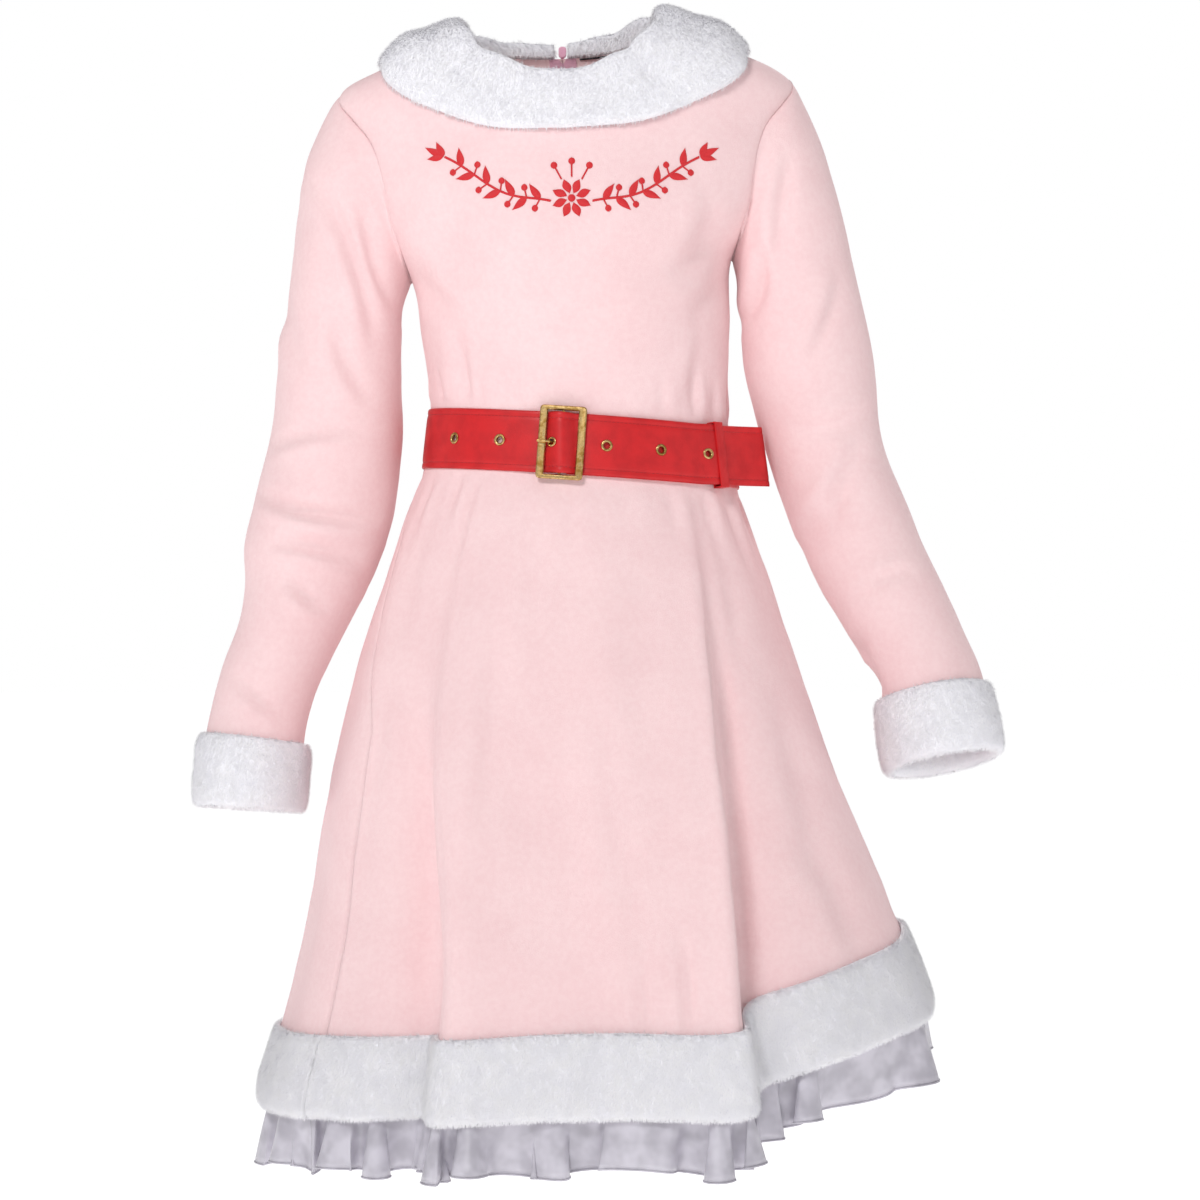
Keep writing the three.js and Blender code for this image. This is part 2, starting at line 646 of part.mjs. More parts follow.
const collarLoops = [];
for (let i = 0; i <= COLLAR_STEPS; i += 1) {
  collarLoops.push(collarLoop(mix(COLLAR_OPENING - 180, 180 - COLLAR_OPENING, i / COLLAR_STEPS)));
}
costume.add(meshFrom('collar', loft(collarLoops, false), WHITE_FUR));

// Hem band: fur moved out from the skirt's own points and reaching below its edge
function bandLoop(spot) {
  const top = HEM_ROWS.length - 1;
  const below = (row, out, drop) => spot(row, out).add(new THREE.Vector3(0, 0, -drop));
  return [
    below(0, SEAM + 0.1, HEM_TURN - 2), spot(0, SEAM + 0.1), spot(1, SEAM + 0.1), spot(top, SEAM + 0.1),
    spot(top, FUR - 5), spot(top - 0.12, FUR - 1.5), spot(1, FUR), below(0, FUR, 0),
    below(0, FUR - 2, HEM_TURN - 2), below(0, FUR / 2, HEM_TURN),
  ];
}

// The back of the skirt as one run of columns: the wearer's left half, then the right half
function backSpot(column, row, out) {
  if (column <= backLeft.columns) return panelPoint(backLeft, column, row, out);
  return panelPoint(backRight, column - backLeft.columns, row, out);
}

const range = (count) => Array.from({ length: count }, (_, i) => i);
const frontSpot = (column, row, out) => panelPoint(front, column, row, out);
const BACK_SPAN = backLeft.columns + backRight.columns;

function hemBand(spotAt, count) {
  return loft(range(count + 1).map((column) => bandLoop((row, out) => spotAt(column, row, out))), false);
}

costume.add(meshFrom('hem_trim_front', hemBand(frontSpot, front.columns), WHITE_FUR));
costume.add(meshFrom('hem_trim_back', hemBand(backSpot, BACK_SPAN), WHITE_FUR));

// Frill: sewn inside the skirt's edge, falling in waves that grow towards its lower edge
const FRILL_ROWS = [
  { drop: -22, swing: 0 },
  { drop: 0, swing: 0 },
  { drop: 16, swing: 0.3 },
  { drop: 34, swing: 0.75 },
  { drop: HEM_TURN + FRILL_DROP, swing: 1 },
];
const SAMPLES = 4;

function frillWall(spotAt, count) {
  const steps = FRILL_WAVES * SAMPLES;
  const lengths = [0];
  for (let i = 1; i <= 4 * count; i += 1) {
    const stretch = spotAt(i / 4, 0, 0).distanceTo(spotAt((i - 1) / 4, 0, 0));
    lengths.push(lengths[i - 1] + stretch);
  }
  const total = lengths[lengths.length - 1];
  const columnAt = (distance) => {
    const i = Math.max(1, lengths.findIndex((length) => length >= distance - 1e-6));
    return (i - 1 + (distance - lengths[i - 1]) / (lengths[i] - lengths[i - 1])) / 4;
  };
  const places = range(steps + 1).map((i) => columnAt(total * i / steps));
  for (let column = 1; column < count; column += 1) {
    const gaps = places.map((place) => Math.abs(place - column));
    places[gaps.indexOf(Math.min(...gaps))] = column;
  }
  const faces = places.map((column, i) => {
    const ends = i === 0 || i === steps;
    const height = 1 + 0.3 * Math.sin(i * 0.9);
    const wave = ends ? 0 : FRILL_SWING * height * Math.sin(Math.PI * i / 2);
    const edge = spotAt(column, 0, -CLOTH - SEAM);
    const outward = edge.clone().sub(spotAt(column, 0, -CLOTH - 5)).setZ(0).normalize();
    return FRILL_ROWS.map(({ drop, swing }) => {
      if (drop < 0) return spotAt(column, -drop / HEM_ROWS[1], -CLOTH - SEAM - 0.1);
      const point = edge.clone().addScaledVector(outward, wave * swing);
      point.z -= drop;
      return point;
    });
  });
  return loft(faces.map((face, i) => [...face, ...frillInside(faces, i).reverse()]), false);
}

// Inner face of the frill, a cloth's thickness behind the waves of its outer face
function frillInside(faces, i) {
  const last = faces.length - 1;
  const [before, after] = [faces[Math.max(i - 1, 0)], faces[Math.min(i + 1, last)]];
  return faces[i].map((point, row) => {
    const straight = FRILL_ROWS.findIndex(({ drop }) => drop === 0);
    const level = i === 0 || i === last ? straight : row;
    const along = after[level].clone().sub(before[level]);
    const upper = faces[i][Math.max(row - 1, 0)];
    const lower = faces[i][Math.min(row + 1, FRILL_ROWS.length - 1)];
    const normal = lower.clone().sub(upper).cross(along).normalize();
    return point.clone().addScaledVector(normal, -FRILL_CLOTH);
  });
}

costume.add(meshFrom('ruffle_front', frillWall(frontSpot, front.columns), SATIN));
costume.add(meshFrom('ruffle_back', frillWall(backSpot, BACK_SPAN), SATIN));

// Waistline: the dress's own points round the belt, starting at the buckle's middle
const BUCKLE_ANGLE = -6.5;

function waistSpots() {
  const spots = [];
  const add = (panel, from, to) => {
    for (let column = from; column <= to; column += 1) {
      const low = panel.points[column][BELT_ROW - 1];
      const high = panel.points[column][BELT_ROW + 1];
      spots.push({ low, high });
    }
  };
  add(front, 0, front.columns);
  add(backLeft, 1, backLeft.columns);
  add(backRight, 1, backRight.columns - 1);
  return spots;
}

const waist = waistSpots();
const middleOf = (spot) => spot.low.clone().lerp(spot.high, 0.5);

function outwardAt(index) {
  const before = middleOf(waist[(index - 1 + waist.length) % waist.length]);
  const after = middleOf(waist[(index + 1) % waist.length]);
  return after.sub(before).cross(new THREE.Vector3(0, 0, 1)).setZ(0).normalize();
}

waist.forEach((spot, i) => {
  spot.outward = outwardAt(i);
});

const waistLengths = [0];
for (let i = 1; i <= waist.length; i += 1) {
  const stretch = middleOf(waist[i % waist.length]).distanceTo(middleOf(waist[i - 1]));
  waistLengths.push(waistLengths[i - 1] + stretch);
}
const WAIST_ROUND = waistLengths[waist.length];
const buckleX = skin(BUCKLE_ANGLE, BELT_MIDDLE).x;
const buckleIndex = waist.findIndex((spot) => middleOf(spot).x > buckleX);
const buckleShare = (buckleX - middleOf(waist[buckleIndex - 1]).x)
  / (middleOf(waist[buckleIndex]).x - middleOf(waist[buckleIndex - 1]).x);
const BUCKLE_START = mix(waistLengths[buckleIndex - 1], waistLengths[buckleIndex], buckleShare);

// Spot on the dress at a distance round the waist from the buckle
function waistAt(distance) {
  const place = (BUCKLE_START + distance + 2 * WAIST_ROUND) % WAIST_ROUND;
  const next = waistLengths.findIndex((length) => length > place);
  const share = (place - waistLengths[next - 1]) / (waistLengths[next] - waistLengths[next - 1]);
  const [a, b] = [waist[next - 1], waist[next % waist.length]];
  return {
    low: a.low.clone().lerp(b.low, share),
    high: a.high.clone().lerp(b.high, share),
    outward: a.outward.clone().lerp(b.outward, share).normalize(),
  };
}

// Belt strap: one strip that starts at the buckle's bar, goes once round under its own end,
// through the buckle over the bar, and on to its free tip
function keeperLift(distance) {
  return KEEPER.lift * ease(KEEPER.spread, KEEPER.flat, Math.abs(distance - KEEPER.distance));
}

function stationFrom(spot, depth) {
  const half = spot.high.clone().sub(spot.low).setLength(BELT_WIDTH / 2);
  const outward = spot.outward.clone().projectOnPlane(half.clone().normalize()).normalize();
  return { centre: middleOf(spot).addScaledVector(outward, depth), half, outward };
}

const waistStops = (from, to) => range(2 * waist.length)
  .map((i) => waistLengths[i % waist.length] - BUCKLE_START + WAIST_ROUND * Math.floor(i / waist.length))
  .filter((distance) => distance > from && distance < to);

function strapStations() {
  const firstStops = [3, ...waistStops(8, WAIST_ROUND - 50)];
  const keeperStops = [-KEEPER.spread, -14, -KEEPER.flat, KEEPER.flat, 14, KEEPER.spread]
    .map((offset) => KEEPER.distance + offset);
  const clearOfKeeper = (d) => Math.abs(d - KEEPER.distance) > KEEPER.spread + 3;
  const stations = [...firstStops.filter(clearOfKeeper), ...keeperStops].sort((a, b) => a - b)
    .map((distance) => stationFrom(waistAt(distance), BELT_REST + keeperLift(distance)));
  for (const { across, depth } of BUCKLE_ROUTE) {
    stations.push(stationFrom(waistAt(WAIST_ROUND + across), depth));
  }
  const overDepth = BUCKLE_ROUTE[BUCKLE_ROUTE.length - 1].depth;
  const overStops = waistStops(28 + WAIST_ROUND, KEEPER.distance + WAIST_ROUND)
    .map((distance) => distance - WAIST_ROUND).filter(clearOfKeeper);
  for (const distance of [...overStops, ...keeperStops.slice(0, 4)]) {
    stations.push(stationFrom(waistAt(distance), overDepth + keeperLift(distance)));
  }
  const leave = stations[stations.length - 1];
  const along = new THREE.Vector3(0, 0, 1).cross(leave.outward);
  along.applyAxisAngle(new THREE.Vector3(0, 0, 1), -radians(TIP.turn));
  const outward = along.clone().cross(new THREE.Vector3(0, 0, 1));
  const slope = (leave.centre.z - stations[stations.length - 2].centre.z)
    / leave.centre.distanceTo(stations[stations.length - 2].centre);
  for (const share of [0.2, 0.6, 1]) {
    const centre = leave.centre.clone().addScaledVector(along, TIP.length * share);
    centre.z += slope * TIP.length * share * (1 - share);
    stations.push({ centre, half: leave.half.clone(), outward });
  }
  return stations;
}

const stations = strapStations();

function strapLoop({ centre, half, outward }) {
  const corner = (side, out) => centre.clone().addScaledVector(half, side)
    .addScaledVector(outward, out * BELT_CLOTH / 2);
  return [corner(-1, 1), corner(1, 1), corner(1, -1), corner(-1, -1)];
}

// Frame on the strap at a distance round from the buckle: right, up and outward axes
function frameOn(centre, half, outward) {
  const up = half.clone().normalize();
  const right = up.clone().cross(outward).normalize();
  const matrix = new THREE.Matrix4().makeBasis(right, up, right.clone().cross(up));
  return matrix.setPosition(centre);
}

function strapFrame(distance) {
  const lengths = [0];
  for (let i = 1; i < stations.length; i += 1) {
    lengths.push(lengths[i - 1] + stations[i].centre.distanceTo(stations[i - 1].centre));
  }
  const ramp = BUCKLE_ROUTE[2];
  const start = stations.findIndex((station, i) => i > waist.length / 2
    && station.centre.distanceTo(middleOf(waistAt(ramp.across))) < ramp.depth + 0.5);
  const place = lengths[start] + distance - ramp.across;
  const next = lengths.findIndex((length) => length > place);
  const share = (place - lengths[next - 1]) / (lengths[next] - lengths[next - 1]);
  const [a, b] = [stations[next - 1], stations[next]];
  const centre = a.centre.clone().lerp(b.centre, share);
  const right = b.centre.clone().sub(a.centre).normalize();
  const half = a.half.clone().lerp(b.half, share);
  const outward = right.clone().cross(half).normalize();
  return frameOn(centre, half, outward);
}

// Solids cut and joined with manifold
const wasm = await Module();
wasm.setup();

function toSolid(geometry) {
  const bare = geometry.clone();
  for (const attribute of ['normal', 'uv']) {
    if (bare.getAttribute(attribute)) bare.deleteAttribute(attribute);
  }
  const merged = mergeVertices(bare, 1e-4);
  return new wasm.Manifold(new wasm.Mesh({
    numProp: 3,
    vertProperties: merged.getAttribute('position').array,
    triVerts: new Uint32Array(merged.getIndex().array),
  }));
}

function toGeometry(solid) {
  const mesh = solid.getMesh();
  const geometry = new THREE.BufferGeometry();
  geometry.setAttribute('position', new THREE.Float32BufferAttribute(mesh.vertProperties, 3));
  geometry.setIndex(Array.from(mesh.triVerts));
  geometry.computeVertexNormals();
  return geometry;
}

// Eyelets: a brass ring with a barrel through its hole in the strap
const EYELET = { hole: 2.8, barrel: 3.5, flange: 5, rise: 0.9, sides: 12 };

function eyeletGeometry() {
  const back = -BELT_CLOTH / 2;
  const face = BELT_CLOTH / 2 + SEAM;
  const profile = [
    [EYELET.hole, back], [EYELET.barrel, back], [EYELET.barrel, face], [EYELET.flange, face],
    [EYELET.flange - 0.7, face + EYELET.rise], [EYELET.hole + 0.6, face + EYELET.rise],
    [EYELET.hole, back],
  ].map(([radius, height]) => new THREE.Vector2(radius, height));
  return new THREE.LatheGeometry(profile, EYELET.sides).rotateX(Math.PI / 2);
}

function strapWithHoles(frames) {
  let strap = toSolid(loft(stations.map(strapLoop), false));
  for (const frame of frames) {
    const cutter = new THREE.CylinderGeometry(
      EYELET.barrel + 0.35, EYELET.barrel + 0.35, 4 * BELT_CLOTH, EYELET.sides);
    cutter.rotateX(Math.PI / 2).applyMatrix4(frame);
    strap = strap.subtract(toSolid(cutter));
  }
  return toGeometry(strap);
}

const eyeletFrames = range(EYELETS)
  .map((i) => strapFrame(PRONG_EYELET.place + (i - PRONG_EYELET.index) * EYELET_PITCH));
costume.add(meshFrom('belt_strap', strapWithHoles(eyeletFrames), RED_LEATHER));
eyeletFrames.forEach((frame, i) => {
  costume.add(meshFrom(`eyelet_${i + 1}`, eyeletGeometry().applyMatrix4(frame), BRASS));
});

// Buckle: a bevelled frame with a round bar across its middle, and its prong
function roundedOutline(width, height, radius) {
  const outline = new THREE.Shape();
  const [x, y] = [width / 2, height / 2];
  outline.moveTo(-x + radius, -y);
  outline.lineTo(x - radius, -y);
  outline.absarc(x - radius, -y + radius, radius, -Math.PI / 2, 0);
  outline.lineTo(x, y - radius);
  outline.absarc(x - radius, y - radius, radius, 0, Math.PI / 2);
  outline.lineTo(-x + radius, y);
  outline.absarc(-x + radius, y - radius, radius, Math.PI / 2, Math.PI);
  outline.lineTo(-x, -y + radius);
  outline.absarc(-x + radius, -y + radius, radius, Math.PI, 1.5 * Math.PI);
  return outline;
}

function framePlate({ width, height, opening, radius, bevel, back, thick }) {
  const outline = roundedOutline(width - 2 * bevel, height - 2 * bevel, radius);
  outline.holes.push(roundedOutline(opening.width + 2 * bevel, opening.height + 2 * bevel, 0.8));
  const plate = new THREE.ExtrudeGeometry(outline, {
    depth: thick - 2 * bevel, bevelThickness: bevel, bevelSize: bevel, bevelSegments: 1, curveSegments: 3,
  });
  return plate.translate(0, 0, back + bevel);
}

const buckleSpot = waistAt(0);
const buckleRight = middleOf(waistAt(8)).sub(middleOf(waistAt(-8)));
const buckleOut = buckleRight.clone().cross(buckleSpot.high.clone().sub(buckleSpot.low)).normalize();
const buckleFrame = frameOn(middleOf(buckleSpot), buckleOut.clone().cross(buckleRight), buckleOut);

function buckleGeometry() {
  const opening = { width: BUCKLE.width - 2 * BUCKLE.bar, height: BUCKLE.window };
  const plate = framePlate({ ...BUCKLE, opening, radius: 2.5, bevel: 0.9 });
  const bar = new THREE.CylinderGeometry(BUCKLE.centreBar, BUCKLE.centreBar, opening.height + 4, 10);
  bar.translate(0, 0, BUCKLE.back + 1.15);
  return toGeometry(toSolid(plate).add(toSolid(bar))).applyMatrix4(buckleFrame);
}

function rodAlong(points, radius, sides, steps) {
  const section = new THREE.Shape();
  for (let k = 0; k < sides; k += 1) {
    const angle = 2 * Math.PI * k / sides;
    const [x, y] = [radius * Math.cos(angle), radius * Math.sin(angle)];
    if (k === 0) section.moveTo(x, y);
    else section.lineTo(x, y);
  }
  return new THREE.ExtrudeGeometry(section, {
    steps, bevelEnabled: false, extrudePath: new THREE.CatmullRomCurve3(points),
  });
}

const prongPoints = PRONG_ROUTE.map(({ across, depth }) => new THREE.Vector3(across, 0, depth));
costume.add(meshFrom('buckle_frame', buckleGeometry(), BRASS));
costume.add(meshFrom('buckle_prong',
  rodAlong(prongPoints, 1.3, 8, 12).applyMatrix4(buckleFrame), BRASS));

// Keeper: a leather loop round both layers of the belt
function keeperGeometry() {
  const [after, before] = [stations[stations.length - 4], stations[stations.length - 5]];
  const centre = after.centre.clone().lerp(before.centre, 0.5);
  const across = after.centre.clone().sub(before.centre).setZ(0);
  const outward = across.cross(new THREE.Vector3(0, 0, 1)).normalize();
  const frame = frameOn(centre, after.half, outward);
  const outerFace = BELT_CLOTH / 2 + SEAM + KEEPER.leather;
  const reachIn = 2 * BELT_CLOTH + 3 * SEAM + KEEPER.leather;
  const depth = outerFace + reachIn;
  const outline = roundedOutline(depth, BELT_WIDTH + 2 * KEEPER.space + 2 * KEEPER.leather, 1);
  outline.holes.push(roundedOutline(depth - 2 * KEEPER.leather, BELT_WIDTH + 2 * KEEPER.space, 0.3));
  const loop = new THREE.ExtrudeGeometry(outline, {
    depth: KEEPER.width, bevelEnabled: false, curveSegments: 2,
  });
  loop.translate(0, 0, -KEEPER.width / 2).rotateY(Math.PI / 2);
  return loop.translate(0, 0, (outerFace - reachIn) / 2).applyMatrix4(frame);
}
costume.add(meshFrom('belt_keeper', keeperGeometry(), RED_LEATHER));

// Zip: a tape behind each back edge, the slider at its top and the pull that hangs from it
const TAPE = { width: 12, thick: 0.8 };

function tapeWall(panel, side) {
  const rows = range(ROWS - ZIP_ROW).map((i) => i + ZIP_ROW);
  const centreColumn = side === 1 ? panel.columns : 0;
  const inward = -side;
  const loops = [0, 1].map((edge) => {
    const face = (row, out) => {
      const width = panel.points[centreColumn][row].distanceTo(panel.points[centreColumn + inward][row]);
      return panelPoint(panel, centreColumn + inward * edge * TAPE.width / width, row, out);
    };
    const near = rows.map((row) => face(row, -CLOTH - SEAM));
    const far = rows.map((row) => face(row, -CLOTH - SEAM - TAPE.thick));
    return [...far, ...near.reverse()];
  });
  return loft(loops, false);
}

costume.add(meshFrom('zip_tape_left', tapeWall(backLeft, 1), PINK_ZIP));
costume.add(meshFrom('zip_tape_right', tapeWall(backRight, -1), PINK_ZIP));

const SLIDER = { width: 7, depth: 6, height: 10, pin: 0.8, lug: 1.2, gap: 3.6, reach: 2.5 };
const zipTop = skin(180, NECK_BACK);
const sliderBase = new THREE.Vector3(zipTop.x, zipTop.y - CLOTH / 2, zipTop.z + SEAM);
const hinge = sliderBase.clone().add(
  new THREE.Vector3(0, SLIDER.depth / 2 + SLIDER.reach, SLIDER.height * 0.55));

function sliderGeometry() {
  const outline = roundedOutline(SLIDER.width - 1, SLIDER.height - 1, 2.4);
  const body = new THREE.ExtrudeGeometry(outline, {
    depth: SLIDER.depth - 1, bevelThickness: 0.5, bevelSize: 0.5, bevelSegments: 1, curveSegments: 4,
  });
  body.translate(0, 0, -SLIDER.depth / 2 + 0.5).rotateX(Math.PI / 2);
  body.translate(sliderBase.x, sliderBase.y, sliderBase.z + SLIDER.height / 2);
  let solid = toSolid(body);
  const lugBack = sliderBase.y + SLIDER.depth / 2 - 0.8;
  const lugFront = hinge.y + SLIDER.pin + 0.6;
  for (const side of [-1, 1]) {
    const lug = new THREE.BoxGeometry(SLIDER.lug, lugFront - lugBack, 3);
    lug.translate(hinge.x + side * (SLIDER.gap + SLIDER.lug) / 2, (lugFront + lugBack) / 2, hinge.z);
    solid = solid.add(toSolid(lug));
  }
  const pin = new THREE.CylinderGeometry(SLIDER.pin, SLIDER.pin, SLIDER.gap + SLIDER.lug, 10);
  pin.rotateZ(Math.PI / 2).translate(hinge.x, hinge.y, hinge.z);
  return toGeometry(solid.add(toSolid(pin)));
}
costume.add(meshFrom('zip_slider', sliderGeometry(), PINK_ZIP));

// Pull: a tab with an eye round the slider's pin, hanging down the back and leaning with it
const PULL = { width: 3, tabWidth: 6, thick: 1.4, length: 24, eye: 2, clear: 0.3, lean: 17 };

function pullGeometry() {
  const tab = new THREE.Shape();
  const [neck, half] = [PULL.width / 2, PULL.tabWidth / 2];
  tab.moveTo(-neck, -PULL.eye + 0.6);
  tab.lineTo(-neck, -6);
  tab.quadraticCurveTo(-half, -8, -half, -11);
  tab.lineTo(-half, -PULL.length + half);
  tab.absarc(0, -PULL.length + half, half, Math.PI, 2 * Math.PI);
  tab.lineTo(half, -11);
  tab.quadraticCurveTo(half, -8, neck, -6);
  tab.lineTo(neck, -PULL.eye + 0.6);
  const plate = new THREE.ExtrudeGeometry(tab, { depth: PULL.thick, bevelEnabled: false, curveSegments: 5 });
  plate.translate(0, 0, -PULL.thick / 2);
  const ring = new THREE.Shape();
  ring.absarc(0, 0, PULL.eye, 0, 2 * Math.PI);
  const bore = new THREE.Path();
  bore.absarc(0, 0, SLIDER.pin + PULL.clear, 0, 2 * Math.PI);
  ring.holes.push(bore);
  const eye = new THREE.ExtrudeGeometry(ring, { depth: PULL.width, bevelEnabled: false, curveSegments: 5 });
  eye.translate(0, 0, -PULL.width / 2).rotateY(Math.PI / 2);
  const solid = toSolid(plate).add(toSolid(eye));
  const geometry = toGeometry(solid).rotateX(Math.PI / 2 + radians(PULL.lean));
  return geometry.translate(hinge.x, hinge.y, hinge.z);
}
costume.add(meshFrom('zip_pull', pullGeometry(), PINK_ZIP));

// Label: a plain tape sewn inside the back of the neck, beside the zip
function labelWall() {
  const columns = [1, 2, 2.6].map((i) => backLeft.columns - i);
  const loops = columns.map((column) => {
    const face = (row, out) => panelPoint(backLeft, column, row, out);
    const rows = [ROWS - 1.6, ROWS - 1.12];
    const far = rows.map((row) => face(row, -CLOTH - SEAM - 1));
    const near = rows.map((row) => face(row, -CLOTH - SEAM - 0.3));
    return [...far, ...near.reverse()];
  });
  return loft(loops, false);
}
costume.add(meshFrom('label', labelWall(), BLACK_TAPE));

export default costume;
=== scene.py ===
import bmesh
import bpy
import numpy as np
from mathutils import Matrix, Vector, noise
from mathutils.bvhtree import BVHTree


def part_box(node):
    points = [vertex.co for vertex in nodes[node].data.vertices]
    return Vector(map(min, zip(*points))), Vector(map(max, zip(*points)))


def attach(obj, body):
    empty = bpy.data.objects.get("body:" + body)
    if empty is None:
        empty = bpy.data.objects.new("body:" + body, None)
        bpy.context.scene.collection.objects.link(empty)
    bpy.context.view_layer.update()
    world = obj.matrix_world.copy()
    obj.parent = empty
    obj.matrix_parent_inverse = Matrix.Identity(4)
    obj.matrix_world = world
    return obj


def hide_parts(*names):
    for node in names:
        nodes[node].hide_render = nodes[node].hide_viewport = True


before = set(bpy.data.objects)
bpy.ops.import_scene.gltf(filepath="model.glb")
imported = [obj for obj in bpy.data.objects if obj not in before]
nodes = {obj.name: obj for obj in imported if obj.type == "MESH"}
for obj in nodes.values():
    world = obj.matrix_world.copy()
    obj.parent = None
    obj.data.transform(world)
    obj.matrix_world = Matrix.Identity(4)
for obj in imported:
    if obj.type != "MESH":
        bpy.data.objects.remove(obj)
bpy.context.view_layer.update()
BODY = "dress"
MM = 0.001

# Camera: level, in front of the dress, with the photograph's frame of 1.056 m at the dress.
CAMERA_PLACE = (0.029, -3.0, -0.499)
FRAME_WIDTH = 1.056
SENSOR_WIDTH = 36


def added(name, data):
    """A new object of the scene, at the origin."""
    made = bpy.data.objects.new(name, data)
    bpy.context.collection.objects.link(made)
    return made


camera = added("camera", bpy.data.cameras.new("camera"))
camera.location = CAMERA_PLACE
camera.rotation_euler = (np.radians(90), 0, 0)
camera.data.sensor_width = SENSOR_WIDTH
camera.data.lens = SENSOR_WIDTH * -CAMERA_PLACE[1] / FRAME_WIDTH
bpy.context.scene.camera = camera


# Studio: a plain pale floor far below the hem, a pale room, and three large soft lamps.
# The lamps stand high in front, low at the right, and behind for the rim.
def tint(red, green, blue):
    """A colour given as it looks on a screen, 0 to 255, as the light values that shaders take."""
    share = np.array([red, green, blue]) / 255
    light = np.where(share <= 0.04045, share / 12.92, ((share + 0.055) / 1.055) ** 2.4)
    return (*light.tolist(), 1)


def finished(name, shape):
    """The mesh of a finished bmesh, which is let go."""
    mesh = bpy.data.meshes.new(name)
    shape.to_mesh(mesh)
    shape.free()
    return mesh


FLOOR_HEIGHT = -1.4
FLOOR_SIZE = 30
shape = bmesh.new()
bmesh.ops.create_grid(shape, x_segments=1, y_segments=1, size=FLOOR_SIZE)
bmesh.ops.translate(shape, verts=shape.verts, vec=(0, 0, FLOOR_HEIGHT))
floor = added("floor", finished("floor", shape))
floor_paint = bpy.data.materials.new("floor_paint")
floor_paint.use_nodes = True
sockets = floor_paint.node_tree.nodes["Principled BSDF"].inputs
sockets["Base Color"].default_value = tint(245, 245, 246)
sockets["Roughness"].default_value = 0.9
sockets["Emission Color"].default_value = tint(255, 255, 255)
sockets["Emission Strength"].default_value = 0.7
floor.data.materials.append(floor_paint)

room = bpy.data.worlds.new("room")
bpy.context.scene.world = room
room.use_nodes = True
room.node_tree.nodes["Background"].inputs["Color"].default_value = tint(255, 255, 255)
ROOM_LIGHT = 0.38


def seen_white(tree, light):
    """The room gives this much light, and the camera sees it as plain white."""
    ray = tree.nodes.new("ShaderNodeLightPath")
    strength = tree.nodes.new("ShaderNodeMapRange")
    strength.inputs["To Min"].default_value = light
    tree.links.new(ray.outputs["Is Camera Ray"], strength.inputs["Value"])
    tree.links.new(strength.outputs["Result"], tree.nodes["Background"].inputs["Strength"])


seen_white(room.node_tree, ROOM_LIGHT)
bpy.context.scene.view_settings.view_transform = "Standard"

DRESS_MIDDLE = -0.45
LAMPS = [
    # name, place, width, watts
    ("key_lamp", (-0.9, -2.5, 1.5), 0.7, 45),
    ("fill_lamp", (2.4, -1.4, 0.1), 1.6, 3),
    ("rim_lamp", (0.6, 2.2, 1.2), 1.4, 20),
]
for name, place, width, watts in LAMPS:
    lamp = added(name, bpy.data.lights.new(name, "AREA"))
    lamp.data.size = width
    lamp.data.energy = watts
    lamp.location = place
    aim = Vector((0, 0, DRESS_MIDDLE)) - Vector(place)
    lamp.rotation_euler = aim.to_track_quat("-Z", "Y").to_euler()


# Pink fleece: soft brushed knit with a short nap that lies in patches, matt, with a little sheen.
# Every cloth panel of the dress is made of it.
class Value:
    """A socket of a material; sums and products of values add their own Math nodes."""

    def __init__(self, tree, socket=None):
        self.tree = tree
        self.socket = socket

    def node(self, kind, settings, inputs, output=0):
        made = self.tree.nodes.new("ShaderNode" + kind)
        for name, setting in settings.items():
            setattr(made, name, setting)
        for name, value in inputs.items():
            if isinstance(value, Value):
                self.tree.links.new(value.socket, made.inputs[name])
            else:
                made.inputs[name].default_value = value
        return Value(self.tree, made.outputs[output])

    def maths(self, operation, first, second):
        return self.node("Math", {"operation": operation}, {0: first, 1: second})

    def __add__(self, other):
        return self.maths("ADD", self, other)

    def __radd__(self, other):
        return self.maths("ADD", other, self)

    def __sub__(self, other):
        return self.maths("SUBTRACT", self, other)

    def __rsub__(self, other):
        return self.maths("SUBTRACT", other, self)

    def __mul__(self, other):
        return self.maths("MULTIPLY", self, other)

    def __rmul__(self, other):
        return self.maths("MULTIPLY", other, self)

    def noise(self, scale, detail=2.0, roughness=0.5):
        wanted = {"Vector": self, "Scale": scale, "Detail": detail, "Roughness": roughness}
        return self.node("TexNoise", {}, wanted)

    def between(self, low, high):
        """0 below low, 1 above high, and smooth between them."""
        wanted = {"Value": self, "From Min": low, "From Max": high}
        return self.node("MapRange", {"interpolation_type": "SMOOTHSTEP"}, wanted)

    def colours(self, low, high):
        """From one colour to another as the value goes from 0 to 1."""
        return self.node("Mix", {"data_type": "RGBA"}, {0: self, 6: low, 7: high}, output=2)


class Finish:
    """A material with its shader: constants go straight to the shader's sockets."""

    def __init__(self, name, **constants):
        self.material = bpy.data.materials.new(name)
        self.material.use_nodes = True
        self.tree = self.material.node_tree
        self.shader = self.tree.nodes["Principled BSDF"]
        for socket, value in constants.items():
            self.shader.inputs[socket.replace("_", " ")].default_value = value
        self.place = Value(self.tree).node("TexCoord", {}, {}, output=3)
        self.across = Value(self.tree).node("UVMap", {}, {})

    def feed(self, socket, value):
        self.tree.links.new(value.socket, self.shader.inputs[socket])

    def bump(self, height, depth, strength=1.0):
        wanted = {"Height": height, "Distance": depth, "Strength": strength}
        self.feed("Normal", height.node("Bump", {}, wanted))


FLEECE_PALE = tint(247, 217, 218)
FLEECE_DEEP = tint(241, 205, 207)


